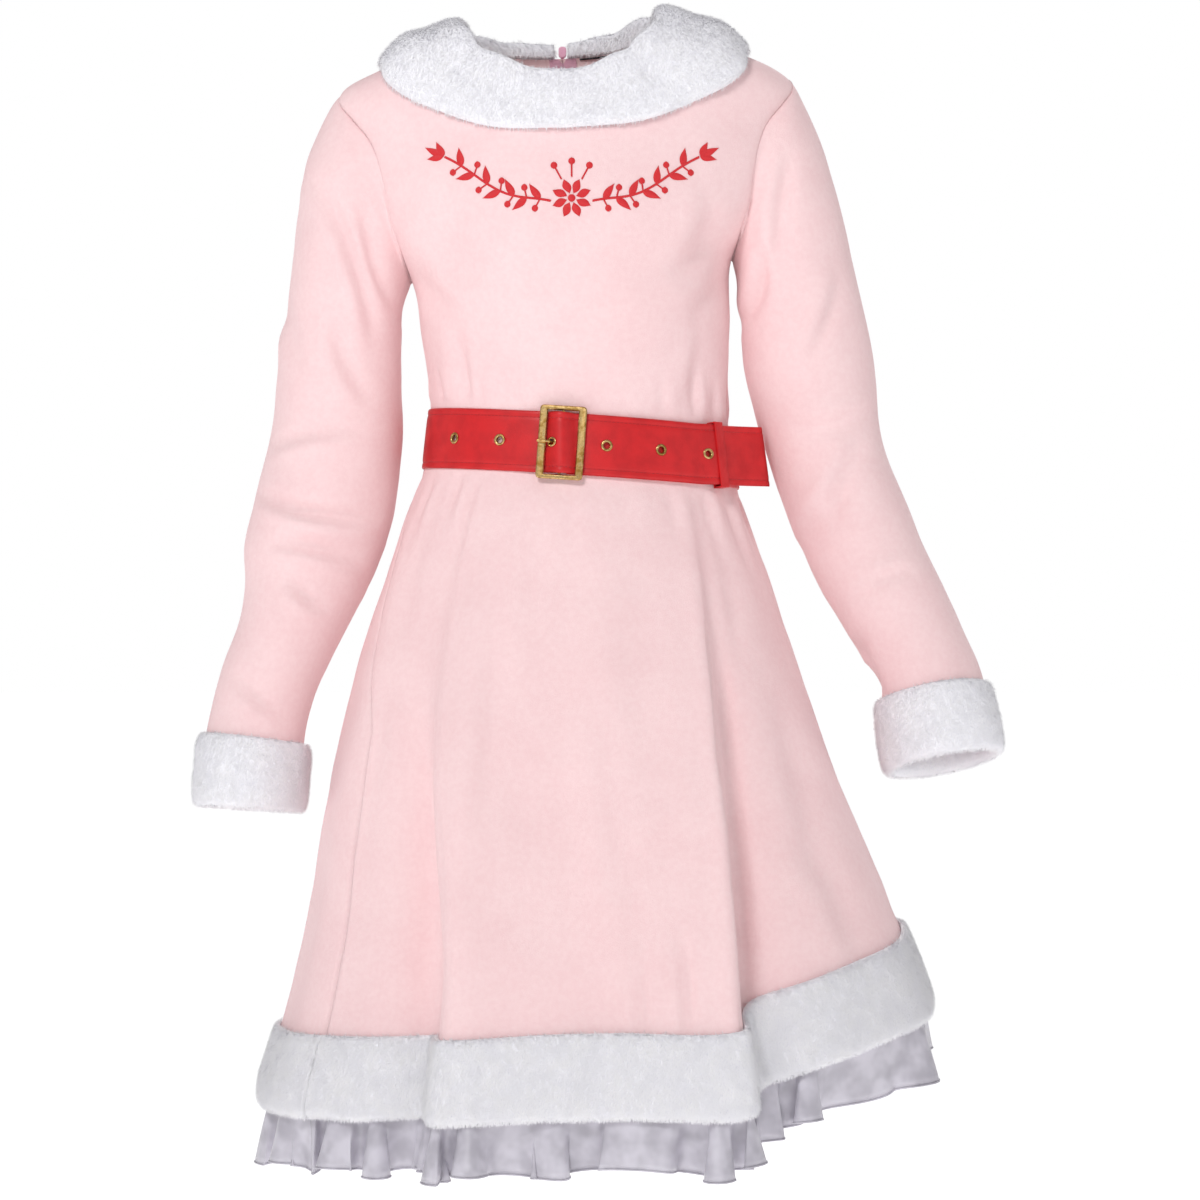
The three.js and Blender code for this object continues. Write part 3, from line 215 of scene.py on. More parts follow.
def fleece_finish():
    finish = Finish("pink_fleece", Roughness=0.95, Specular_IOR_Level=0.15, Sheen_Weight=0.35,
                    Sheen_Roughness=0.45, Sheen_Tint=tint(255, 236, 238))
    fibres = finish.place.noise(1400, 3, 0.65)
    nap = finish.place.noise(210, 4, 0.6)
    patches = finish.place.noise(22, 2)
    tone = 0.45 * nap.between(0.3, 0.7) + 0.3 * patches.between(0.35, 0.68) + 0.25 * fibres
    finish.feed("Base Color", tone.colours(FLEECE_PALE, FLEECE_DEEP))
    finish.bump(0.6 * fibres + 0.4 * nap, 0.0011, 0.55)
    return finish.material


PINK_FLEECE = fleece_finish()


# Dress form: the surface that every panel, band and frill is cut to lie on.
# Level rings give it its girth, and soft folds run down the skirt from the belt.
class Table:
    """A short table with named columns, read on a smooth curve through its rows."""

    def __init__(self, names, *rows):
        self.names = names.split()
        self.rows = np.array(sorted(rows), float)

    def __call__(self, name, at):
        keys = self.rows[:, 0]
        values = self.rows[:, self.names.index(name)]
        steps = np.arange(len(keys))
        low = np.clip(steps - 1, 0, None)
        high = np.clip(steps + 1, None, len(keys) - 1)
        slopes = (values[high] - values[low]) / (keys[high] - keys[low])
        span = np.clip(np.searchsorted(keys, at, side="right") - 1, 0, len(keys) - 2)
        width = keys[span + 1] - keys[span]
        t = np.clip((at - keys[span]) / width, 0, 1)
        start = values[span] * (1 + 2 * t) * (1 - t) ** 2 + width * slopes[span] * t * (1 - t) ** 2
        end = values[span + 1] * t * t * (3 - 2 * t) + width * slopes[span + 1] * t * t * (t - 1)
        return start + end


SECTIONS = Table(
    "z middle half front back lift",
    (14, -6, 58, 52, 50, 5),
    (0, -6, 86, 64, 62, 5),
    (-46, -1, 195, 84, 78, 6),
    (-100, 1, 191, 104, 96, 8),
    (-160, 3, 176, 118, 105, 9),
    (-190, 4, 156, 121, 107, 10),
    (-211, 4, 140, 121, 107, 10),
    (-258, 7, 136, 115, 103, 5),
    (-341, 11, 131, 101, 97, -9),
    (-394, 12, 138, 106, 102, -9),
    (-425, 10, 149, 117, 112, -6),
    (-470, 10, 165, 131, 126, -3),
    (-540, 10, 187, 148, 142, 0),
    (-620, 14, 210, 165, 160, 0),
    (-700, 23, 233, 180, 177, 0),
    (-800, 36, 262, 198, 197, 0),
    (-925, 42, 302, 216, 218, 0),
)
HEM = Table(
    "angle z",
    (-180, -900), (-135, -925), (-90, -940), (-60, -937), (-30, -930), (0, -922), (17, -920),
    (28, -898), (60, -866), (90, -851), (135, -868), (180, -900),
)
HEM_TURN = 8
HEM_BAND = 68
NECK_FRONT = -58
NECK_BACK = -12
SHOULDER_TIP = -46
UNDERARM = -211
BELT_MIDDLE = -367
BELT_WIDTH = 52.5
SKIRT_END = -900
FOLD_TURN = 1.8

# Skirt folds: angle at the waist and at the hem, spread in degrees on the fold's right-hand and
# left-hand side, how far it stands out and leans sideways, and the heights where it begins and is full
FOLDS = [
    (41, 17, 7, 2.6, 30, 14, -390, -720),
    (54, 25.5, 3, 6, -15, 0, -440, -820),
    (-39, -25, 3.6, 7, 25, -8, -390, -720),
    (-52, -33, 6, 3, -19, 0, -440, -820),
    (8, 4, 8, 5, 8, 3, -390, -640),
    (-14, -12, 6, 6, -4, 0, -430, -800),
    (-62, -66, 7, 7, 8, 0, -400, -700),
    (72, 66, 9, 8, 8, 0, -420, -760),
    (128, 124, 10, 7, 18, 5, -400, -820),
    (158, 156, 9, 9, -12, 0, -400, -800),
    (-155, -152, 7, 10, 17, -5, -400, -820),
    (-118, -112, 9, 9, -10, 0, -400, -760),
    (-92, -92, 9, 9, 7, 0, -420, -760),
]


def mix(low, high, share):
    return low + (high - low) * share


def ease(start, end, value):
    share = np.clip((value - start) / (end - start), 0, 1)
    return share * share * (3 - 2 * share)


def direction(vectors):
    return vectors / np.maximum(np.linalg.norm(vectors, axis=-1, keepdims=True), 1e-9)


def fold_share(height, begin):
    """Share of a fold's turn from its waist angle to its hem angle: most is in the upper skirt."""
    return 1 - (1 - np.clip((height - begin) / (SKIRT_END - begin), 0, 1)) ** FOLD_TURN


def skin(angle, height):
    """Points of the dress at angles round it, 0 in front and 90 at the wearer's left, and heights."""
    angle, height = np.broadcast_arrays(angle, height)
    sine, cosine = np.sin(np.radians(angle)), np.cos(np.radians(angle))
    half = SECTIONS("half", height)
    depth = np.where(cosine > 0, SECTIONS("front", height), SECTIONS("back", height))
    x = SECTIONS("middle", height) + half * sine
    points = np.stack([x, -depth * cosine, height + SECTIONS("lift", height) * sine], -1)
    outward = direction(np.stack([sine / half, -cosine / depth, 0 * sine], -1))
    around = np.stack([-outward[..., 1], outward[..., 0], 0 * sine], -1)
    for waist, hem, right, left, out, lean, begin, full in FOLDS:
        centre = mix(waist, hem, fold_share(height, begin))
        turn = (angle - centre + 540) % 360 - 180
        weight = np.exp(-(turn / np.where(turn < 0, right, left)) ** 2 / 2) * ease(begin, full, height)
        points = points + (outward * out + around * lean) * weight[..., None]
    return points


def skin_normal(angle, height):
    around = skin(angle + 0.5, height) - skin(angle - 0.5, height)
    upward = skin(angle, height + 1) - skin(angle, height - 1)
    return direction(np.cross(around, upward))


def hem_height(angle):
    return HEM("z", angle) + HEM_TURN


def angle_at(x, height, facing, side=1):
    """Angle of a place seen from the front, on the front (facing 1) or on a back half (facing -1)."""
    sine = np.clip((x - SECTIONS("middle", height)) / SECTIONS("half", height), -1, 1)
    angle = np.degrees(np.arcsin(sine))
    return angle if facing == 1 else np.clip(side * 180 - angle, -180, 180)


def seen_x(angle, height):
    return SECTIONS("middle", height) + SECTIONS("half", height) * np.sin(np.radians(angle))


def neckline(turn):
    """Angle and height of the neckline at an angle round the neck."""
    cosine = np.cos(np.radians(turn))
    height = np.where(cosine > 0, NECK_FRONT * np.abs(cosine) ** 1.3, NECK_BACK * -cosine)
    x = SECTIONS("middle", 0) + SECTIONS("half", 0) * np.sin(np.radians(turn))
    front = angle_at(x, height, 1)
    back = angle_at(x, height, -1, np.where(turn < 0, -1, 1))
    return np.where(cosine > 0, front, back), height


ARMHOLE = Table("share curve", (0, 0), (0.1, 16), (0.3, 27), (0.6, 29), (0.85, 19), (1, 0))


def armhole(side, facing, share):
    """The armhole's edge curves in from the side seam and meets the shoulder seam at its tip."""
    return side * (90 - facing * ARMHOLE("curve", share)), mix(UNDERARM, SHOULDER_TIP, share)


# Front, cut in one piece from shoulder to hem, and two back halves with the zip between them.
# Sewn at the sides and shoulders, where the cloth sinks a little into each seam.
def line_angle(lines, column, height):
    """Angle of a panel's column at a height, between lines of (angle at waist, at hem, column)."""
    drop = fold_share(height, BELT_MIDDLE)
    early = np.clip(2.2 * (height - BELT_MIDDLE) / (SKIRT_END - BELT_MIDDLE), 0, 1)
    starts = np.array([start for _, _, start in lines], float)
    angles = []
    for i, (waist, hem, _) in enumerate(lines):
        at_edge = i in (0, len(lines) - 1)
        angles.append(mix(waist, hem, early if at_edge else drop))
    angles = np.stack(angles)
    low = np.clip(np.searchsorted(starts, column, side="right") - 1, 0, len(lines) - 2)
    share = (column - starts[low]) / (starts[low + 1] - starts[low])
    pick = lambda index: np.take_along_axis(angles, index[None], 0)[0]
    return mix(pick(low), pick(low + 1), share)


FRONT_COLUMNS = 25
BACK_COLUMNS = 14
SHOULDER_COLUMNS = 6
FRONT_LINES = [
    (-88, -58, 0), (-66, -43, 4), (-52, -34, 6), (-39, -25, 8), (-26, -16, 10),
    (27, 8, 14), (41, 17, 16), (54, 26, 18), (66, 37, 20), (90, 102, 25),
]
SHOULDER_SHARE = SHOULDER_COLUMNS / FRONT_COLUMNS
YOKE_START = 0.74


def shoulder(side, share):
    return side * 90 + 0 * share, mix(SHOULDER_TIP, 0, share)


def choose(*cases):
    """Pairs of arrays picked by the first condition that holds."""
    conditions = [condition for condition, _ in cases]
    pairs = [pair for _, pair in cases]
    return tuple(np.select(conditions, [np.broadcast_to(pair[i], conditions[0].shape) for pair in pairs])
                 for i in (0, 1))


def front_edges():
    last = 1 - SHOULDER_SHARE
    return {
        "lines": FRONT_LINES, "columns": FRONT_COLUMNS, "facing": 1, "side": 1,
        "top": lambda u: choose(
            (u <= SHOULDER_SHARE, shoulder(-1, u / SHOULDER_SHARE)),
            (u >= last, shoulder(1, (1 - u) / SHOULDER_SHARE)),
            (u > -1, neckline(mix(-90, 90, (u - SHOULDER_SHARE) / (last - SHOULDER_SHARE))))),
        "left": lambda v: armhole(-1, 1, v),
        "right": lambda v: armhole(1, 1, v),
    }


def back_edges(side):
    share = SHOULDER_COLUMNS / BACK_COLUMNS
    from_side = (lambda u: u) if side == 1 else (lambda u: 1 - u)
    top = lambda w: choose(
        (w <= share, shoulder(side, w / share)),
        (w > -1, neckline(side * mix(90, 180, np.clip((w - share) / (1 - share), 0, 1)))))
    centre = lambda v: (side * 180 + 0 * v, mix(UNDERARM, NECK_BACK, v))
    armhole_edge = lambda v: armhole(side, -1, v)
    lines = [(90, 102, 0), (180, 180, BACK_COLUMNS)]
    if side == -1:
        lines = [(-180, -180, 0), (-88, -58, BACK_COLUMNS)]
    return {
        "lines": lines, "columns": BACK_COLUMNS, "facing": -1, "side": side,
        "top": lambda u: top(from_side(u)),
        "left": armhole_edge if side == 1 else centre,
        "right": centre if side == 1 else armhole_edge,
    }


def panel_spots(plan, u, v):
    """Angle and height of places on a panel, u across it and v up from the hem."""
    column = u * plan["columns"]
    hem = hem_height(line_angle(plan["lines"], column, SKIRT_END + 0 * u))
    low_height = mix(hem, UNDERARM, np.clip(v / YOKE_START, 0, 1))
    low_angle = line_angle(plan["lines"], column, low_height)
    up = 1 - (1 - np.clip((v - YOKE_START) / (1 - YOKE_START), 0, 1)) ** 2
    bottom = lambda w: (line_angle(plan["lines"], w * plan["columns"], UNDERARM + 0 * w), UNDERARM + 0 * w)
    place = []
    for part in (0, 1):
        value = lambda edge, share: (seen_x(*edge(share)), edge(share)[1])[part]
        one = np.ones_like(u)
        corners = ((1 - u) * (1 - up) * value(bottom, 0 * one) + u * (1 - up) * value(bottom, one)
                   + (1 - u) * up * value(plan["top"], 0 * one) + u * up * value(plan["top"], one))
        place.append((1 - up) * value(bottom, u) + up * value(plan["top"], u)
                     + (1 - u) * value(plan["left"], up) + u * value(plan["right"], up) - corners)
    yoke_angle = angle_at(place[0], place[1], plan["facing"], plan["side"])
    in_yoke = v > YOKE_START
    return np.where(in_yoke, yoke_angle, low_angle), np.where(in_yoke, place[1], low_height)


def crease(points, start, end, width, depth, bend=0.0):
    """Soft trough between two places seen from the front, with a lower ridge along its one side."""
    start, end = np.array(start, float), np.array(end, float)
    run = end - start
    flat = points[..., [0, 2]] - start
    along = flat @ run / (run @ run)
    across = (flat[..., 0] * run[1] - flat[..., 1] * run[0]) / np.linalg.norm(run)
    across = across - bend * 4 * along * (1 - along)
    fade = np.sin(np.pi * np.clip(along, 0, 1)) ** 0.8
    trough = -np.exp(-(across / width) ** 2)
    ridge = 0.6 * np.exp(-((across - 1.6 * width) / (1.1 * width)) ** 2)
    return depth * fade * (trough + ridge)


def lumps(points, size, seed):
    """Smooth irregular values from -1 to 1."""
    shift = Vector((seed * 17.3, seed * 5.1, -seed * 9.7))
    flat = points.reshape(-1, 3)
    values = [noise.noise(Vector(point) / size + shift) for point in flat]
    return np.array(values).reshape(points.shape[:-1])


# Gathers at the belt: angle, length above and below the belt, width in degrees, depth
GATHERS = [
    (-66, 50, 90, 3.0, 2.6), (-48, 70, 60, 2.6, 3.4), (-39, 34, 120, 2.2, 2.2), (-22, 26, 55, 2.6, 1.6),
    (-2, 30, 100, 2.4, 1.6), (16, 24, 60, 3.0, 1.3), (33, 40, 70, 2.6, 1.8), (50, 62, 80, 2.8, 2.8),
    (64, 40, 110, 3.2, 2.6), (84, 56, 70, 3.2, 3.0), (103, 38, 95, 3.0, 2.6), (121, 60, 60, 2.8, 2.8),
    (139, 34, 110, 2.8, 2.4), (160, 48, 70, 3.0, 2.4), (-163, 40, 90, 2.8, 2.6), (-144, 58, 64, 2.8, 2.8),
    (-126, 36, 110, 3.0, 2.4), (-107, 60, 72, 3.0, 3.0), (-87, 44, 84, 3.0, 2.6),
]


def waist_gathers(angle, height):
    relief = 0 * angle
    above = height - (BELT_MIDDLE + BELT_WIDTH / 2)
    below = (BELT_MIDDLE - BELT_WIDTH / 2) - height
    for centre, up, down, width, depth in GATHERS:
        turn = (angle - centre + 540) % 360 - 180
        shape = -np.exp(-(turn / width) ** 2) + 0.7 * np.exp(-((turn - 1.9 * width) / width) ** 2)
        reach_up = ease(0, 0.25, above / up) * (1 - ease(0.3, 1, above / up))
        reach_down = ease(0, 0.2, below / down) * (1 - ease(0.25, 1, below / down))
        relief = relief + depth * shape * (reach_up + reach_down)
    return relief


# Creases seen from the front: start x z, end x z, width, depth, sideways bend
FRONT_CREASES = [
    (110, -392, 150, -1010, 8, 8, -14), (-118, -1010, -90, -385, 15, 4, -4),
    (-6, -410, 34, -1010, 26, 4.5, 4), (-125, -168, -68, -232, 13, 5.9, 6),
    (-133, -205, -84, -262, 9, 4.2, 5), (-118, -150, -92, -196, 10, 3.1, -4),
    (132, -160, 92, -226, 12, 5.0, -6), (138, -206, 104, -258, 9, 3.6, -5),
    (-96, -262, -78, -332, 8, 3.4, 3), (118, -268, 104, -334, 8, 2.8, -3),
    (-60, -296, -52, -338, 7, 2.1, 2), (70, -782, 66, -866, 7, 4.2, 3),
    (97, -772, 99, -868, 6, 4.8, -3), (30, -560, 66, -800, 13, 3.4, 4),
    (-58, -470, -70, -700, 12, 2.5, -4), (-150, -560, -186, -760, 12, 4.2, 6),
    (172, -560, 214, -740, 14, 4.5, -8), (206, -700, 250, -812, 12, 3.6, -5),
    (-20, -420, -30, -560, 9, 2.0, 2), (-118, -420, -142, -540, 9, 3.4, 4),
    (128, -430, 148, -560, 9, 3.1, -3),
]
BACK_CREASES = [
    (-120, -165, -70, -232, 13, 5.6, 6), (122, -165, 74, -232, 13, 5.6, -6),
    (-60, -250, -24, -330, 10, 3.6, 4), (66, -246, 26, -326, 10, 3.6, -4),
    (-96, -264, -82, -334, 8, 3.4, 3), (104, -264, 92, -334, 8, 3.4, -3),
    (-120, -470, -150, -700, 12, 3.9, 5), (130, -470, 172, -700, 12, 3.9, -5),
    (-40, -500, -48, -740, 12, 3.1, 4), (62, -520, 84, -800, 12, 3.4, -4),
    (-30, -76, -70, -128, 9, 2.5, 3), (30, -76, 70, -128, 9, 2.5, -3),
]


def panel_relief(angle, height, u, points, normals, creases):
    """How far the cloth stands out from the dress form, but for its seams."""
    facing = np.clip(3 * np.abs(normals[..., 1]), 0, 1) * ease(0, 0.08, u) * ease(1, 0.92, u)
    relief = waist_gathers(angle, height) + 1.5 * lumps(points, 62, 1) + 0.5 * lumps(points, 24, 2)
    for x0, z0, x1, z1, width, depth, bend in creases:
        relief = relief + facing * crease(points, (x0, z0), (x1, z1), width, depth, bend)
    under_belt = ease(BELT_WIDTH / 2 + 14, BELT_WIDTH / 2 + 2, np.abs(height - BELT_MIDDLE))
    under_band = ease(hem_height(angle) + HEM_BAND + 8, hem_height(angle) + HEM_BAND - 12, height)
    return relief * (1 - under_belt) * (1 - 0.7 * under_band)


def sheet_mesh(name, points, weld=False, cap=False):
    """A mesh from a grid whose points go to the given places, an array by row and column."""
    rows, columns = points.shape[:2]
    shape = bmesh.new()
    bmesh.ops.create_grid(shape, x_segments=columns - 1, y_segments=rows - 1, size=1, calc_uvs=True)
    order = sorted(shape.verts, key=lambda vertex: (round(vertex.co.y, 5), round(vertex.co.x, 5)))
    for vertex, point in zip(order, points.reshape(-1, 3) * MM):
        vertex.co = point
    if weld:
        bmesh.ops.remove_doubles(shape, verts=shape.verts, dist=0.00002)
    if cap:
        bmesh.ops.holes_fill(shape, edges=[edge for edge in shape.edges if edge.is_boundary], sides=0)
    if weld or cap:
        bmesh.ops.recalc_face_normals(shape, faces=shape.faces)
    mesh = finished(name, shape)
    mesh.shade_smooth()
    return mesh


def add_piece(mesh, material, replaced=(), wall=None):
    """Puts a mesh on the dress: with its material, its wall and the solids that it stands for."""
    piece = added(mesh.name, mesh)
    mesh.materials.append(material)
    if wall:
        solid = piece.modifiers.new("wall", "SOLIDIFY")
        solid.thickness = wall * MM
        solid.offset = -1
    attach(piece, BODY)
    if replaced:
        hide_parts(*replaced)
    return piece


CLOTH = 2
SEAM_DEPTH = 0.8
SEAM_REACH = 3.5
SEAM_TUCK = 3.2


def seam_sink(points, sides):
    """Sinks the cloth next to its left, right and top edges, where it is sewn to its neighbours."""
    steps = np.linalg.norm(np.diff(points, axis=1), axis=-1)
    run = np.concatenate([np.zeros((len(points), 1)), np.cumsum(steps, axis=1)], axis=1)
    rise = np.linalg.norm(np.diff(points, axis=0), axis=-1)
    climb = np.concatenate([np.zeros((1, points.shape[1])), np.cumsum(rise, axis=0)], axis=0)
    gaps = {"left": run, "right": run[:, -1:] - run, "top": climb[-1:] - climb}
    return sum(-SEAM_DEPTH * np.exp(-(gaps[side] / SEAM_REACH) ** 2) for side in sides)


def cloth_panel(name, plan, across, rows, creases):
    u, v = np.meshgrid(np.linspace(0, 1, across + 1), np.linspace(0, 1, rows + 1))
    angle, height = panel_spots(plan, u, v)
    points = skin(angle, height)
    normals = skin_normal(angle, height)
    relief = panel_relief(angle, height, u, points, normals, creases)
    relief = relief + seam_sink(points, ("left", "right", "top"))
    mesh = sheet_mesh(name + "_cloth", points + normals * relief[..., None])
    piece = add_piece(mesh, PINK_FLEECE, (name,), CLOTH)
    return piece


front = cloth_panel("front", front_edges(), 150, 150, FRONT_CREASES)
cloth_panel("back_left", back_edges(1), 56, 138, BACK_CREASES)
cloth_panel("back_right", back_edges(-1), 66, 138, BACK_CREASES)


# Sleeves: one tube each, set into the armhole, a little full at the elbow, ending inside the cuff.
# Each ring runs from the underarm over the front to the top and back.
RINGS = "ring out_x out_z in_x in_z y depth forward"
RIGHT_SLEEVE = Table(
    RINGS,
    (1, -216, -78, -140, -227, 0, 57, 0),
    (2, -228, -112, -143, -238, 1, 58, 0),
    (3, -235, -155, -145, -253, 2, 58, 0),
    (4, -241, -200, -146, -271, 3, 57, 0),
    (5, -249, -250, -146, -294, 4, 56, 0),
    (6, -255, -300, -146, -322, 5, 56, 0),
    (7, -260, -345, -145, -353, 6, 56, 1),
    (8, -268, -385, -148, -391, 6, 56, 3),
    (9, -276, -416, -154, -430, 4, 55, 5),
    (10, -284, -450, -167, -470, 1, 52, 6),
    (11, -283, -484, -186, -508, -3, 48, 7),
    (12, -289, -522, -205, -546, -8, 45, 7),
    (13, -304, -566, -222, -585, -13, 43, 7),
    (14, -315, -616, -230, -626, -19, 42, 6),
    (15, -319, -672, -233, -678, -25, 43, 5),
)
LEFT_SLEEVE = Table(
    RINGS,
    (1, 210, -62, 147, -206, 0, 57, 0),
    (2, 223, -95, 149, -216, 1, 58, 0),
    (3, 235, -132, 151, -230, 2, 58, 0),
    (4, 245, -172, 152, -248, 3, 57, 0),
    (5, 256, -222, 154, -272, 4, 56, 0),
    (6, 266, -265, 157, -300, 5, 56, 0),
    (7, 272, -305, 164, -330, 6, 56, 2),
    (8, 274, -340, 174, -364, 6, 55, 6),
    (9, 281, -374, 186, -402, 4, 53, 10),
    (10, 299, -418, 203, -446, -4, 50, 13),
    (11, 313, -454, 222, -487, -14, 48, 14),
    (12, 331, -494, 243, -524, -24, 46, 14),
    (13, 349, -534, 260, -556, -34, 45, 14),
    (14, 362, -572, 272, -588, -43, 45, 14),
    (15, 370, -626, 280, -642, -57, 46, 14),
)
SLEEVE_RINGS = 15
SLEEVE_AROUND = 72
SLEEVE_ROWS = 112
# Creases of each sleeve: start x z, end x z, width, depth, bend
RIGHT_CREASES = [
    (-222, -128, -166, -278, 7.2, 8, -10), (-176, -150, -150, -250, 6.4, 6, 5),
    (-272, -404, -160, -428, 6.4, 9.2, 8), (-262, -366, -170, -352, 5.6, 4.8, -5),
    (-256, -448, -176, -470, 6.4, 6.8, -5), (-240, -478, -206, -508, 5.6, 6, 4),
    (-204, -250, -168, -330, 7.2, 5.2, 6), (-290, -560, -240, -600, 5.6, 4.4, 4),
    (-252, -214, -226, -300, 7.2, 4, 5),
]
LEFT_CREASES = [
    (196, -110, 186, -222, 7.2, 6.8, 6), (170, -192, 158, -256, 5.6, 6.4, -4),
    (262, -364, 230, -438, 9, 6.5, 8), (272, -330, 196, -352, 8, 4.5, -6),
    (250, -400, 206, -446, 8, 4.5, 5), (252, -532, 276, -592, 6.4, 8.4, 5),
    (300, -470, 246, -500, 5.6, 4.8, 4), (240, -214, 204, -300, 7.2, 4.8, -5),
    (344, -560, 300, -590, 5.6, 4, -3),
]


def through(rows, count, closed=False):
    """count steps on a smooth curve through an array's rows."""
    rows = np.asarray(rows, float)
    last = len(rows) if closed else len(rows) - 1
    place = np.linspace(0, last, count + 1)
    low = np.minimum(place.astype(int), last - 1)
    t = (place - low).reshape((-1,) + (1,) * (rows.ndim - 1))
    row = lambda step: rows[(low + step) % len(rows)] if closed else rows[np.clip(low + step, 0, last)]
    before, start, end, after = (row(step) for step in (-1, 0, 1, 2))
    bend = 2 * before - 5 * start + 4 * end - after + t * (3 * (start - end) + after - before)
    return start + 0.5 * t * (end - before + t * bend)


def armhole_ring(side, value):
    """A value of the dress form, such as its place, all round an armhole from the underarm."""
    share = np.linspace(0, 1, SLEEVE_AROUND + 1)
    climb = 1 - np.abs(1 - 2 * share)
    up = 1 - (1 - climb) ** 2
    return np.where((share <= 0.5)[:, None], value(*armhole(side, 1, up)), value(*armhole(side, -1, up)))


def sleeve_rings(table, side):
    """Sleeve rings by row, from the armhole to the wrist."""
    first = armhole_ring(side, skin)
    rings = [first]
    turn = 2 * np.pi * np.linspace(0, 1, SLEEVE_AROUND + 1)[:, None]
    for ring in range(1, SLEEVE_RINGS + 1):
        outer = np.array([table("out_x", ring), table("y", ring), table("out_z", ring)])
        inner = np.array([table("in_x", ring), table("y", ring), table("in_z", ring)])
        centre = (outer + inner) / 2
        tip = np.radians(table("forward", ring))
        to_front = np.array([0, -np.cos(tip), np.sin(tip)]) * table("depth", ring)
        points = centre + (inner - centre) * np.cos(turn) + to_front * np.sin(turn)
        rings.append(mix(points, first, 0.35) if ring == 1 else points)
    return np.stack(rings)


def tube_normals(points):
    """Normals of a tube's grid, turned away from its middle line."""
    normals = direction(np.cross(np.gradient(points, axis=1), np.gradient(points, axis=0)))
    normals[:, 0] = normals[:, -1] = direction(normals[:, 1] + normals[:, -2])
    arms = points - points[:, :-1].mean(axis=1, keepdims=True)
    return normals * np.sign((normals * arms).sum(axis=-1).mean())


def sleeve(name, table, side, creases):
    rings = sleeve_rings(table, side)
    points = through(rings, SLEEVE_ROWS)
    normals = tube_normals(points)
    relief = 1.3 * lumps(points, 55, 4 + side) + 0.4 * lumps(points, 22, 7 + side)
    in_front = ease(0.25, -0.25, normals[..., 1])
    for x0, z0, x1, z1, width, depth, bend in creases:
        relief = relief + in_front * crease(points, (x0, z0), (x1, z1), width, depth, bend)
        behind = crease(points, (x0 * 1.03, z0 - 22), (x1 * 0.98, z1 - 12), width * 1.1, depth * 0.8, -bend)
        relief = relief + (1 - in_front) * behind
    from_armhole = np.linalg.norm(points - points[:1], axis=-1)
    relief = relief * ease(0, 25, from_armhole) - SEAM_DEPTH * np.exp(-(from_armhole / SEAM_REACH) ** 2)
    ring = np.linspace(0, SLEEVE_RINGS, SLEEVE_ROWS + 1)
    in_cuff = ease(13.6, 14.2, ring)[:, None]
    relief = relief * (1 - in_cuff)
    points = points + normals * relief[..., None]
    tucked = points[0] - SEAM_TUCK * armhole_ring(side, skin_normal)
    mesh = sheet_mesh(name + "_cloth", np.concatenate([tucked[None], points]), weld=True)
    piece = add_piece(mesh, PINK_FLEECE, (name,), CLOTH)
    return rings


right_rings = sleeve("sleeve_right", RIGHT_SLEEVE, -1, RIGHT_CREASES)
left_rings = sleeve("sleeve_left", LEFT_SLEEVE, 1, LEFT_CREASES)


# White fur cloth: a knitted base with a short dense pile, for the collar, cuffs and hem band.
# The base is a soft rounded body, and every hair of the pile is a thin blade that stands on it.
FUR_WHITE = tint(248, 247, 251)
FUR_SHADE = tint(236, 235, 242)


def fur_base_finish():
    finish = Finish("fur_base", Roughness=0.95, Specular_IOR_Level=0.1, Sheen_Weight=0.3, Sheen_Roughness=0.5)
    tufts = finish.place.noise(420, 3, 0.6)
    finish.feed("Base Color", tufts.between(0.25, 0.6).colours(FUR_SHADE, FUR_WHITE))
    finish.bump(tufts, 0.002, 0.6)
    return finish.material


def fur_pile_finish():
    finish = Finish("fur_pile", Roughness=0.85, Specular_IOR_Level=0.2, Sheen_Weight=0.3, Sheen_Roughness=0.5)
    clouds = finish.place.noise(60, 2).between(0.3, 0.7)
    finish.feed("Base Color", clouds.colours(tint(254, 253, 255), tint(249, 248, 252)))
    return finish.material


FUR_BASE = fur_base_finish()
FUR_PILE = fur_pile_finish()
BLADE_WIDTH = 0.62


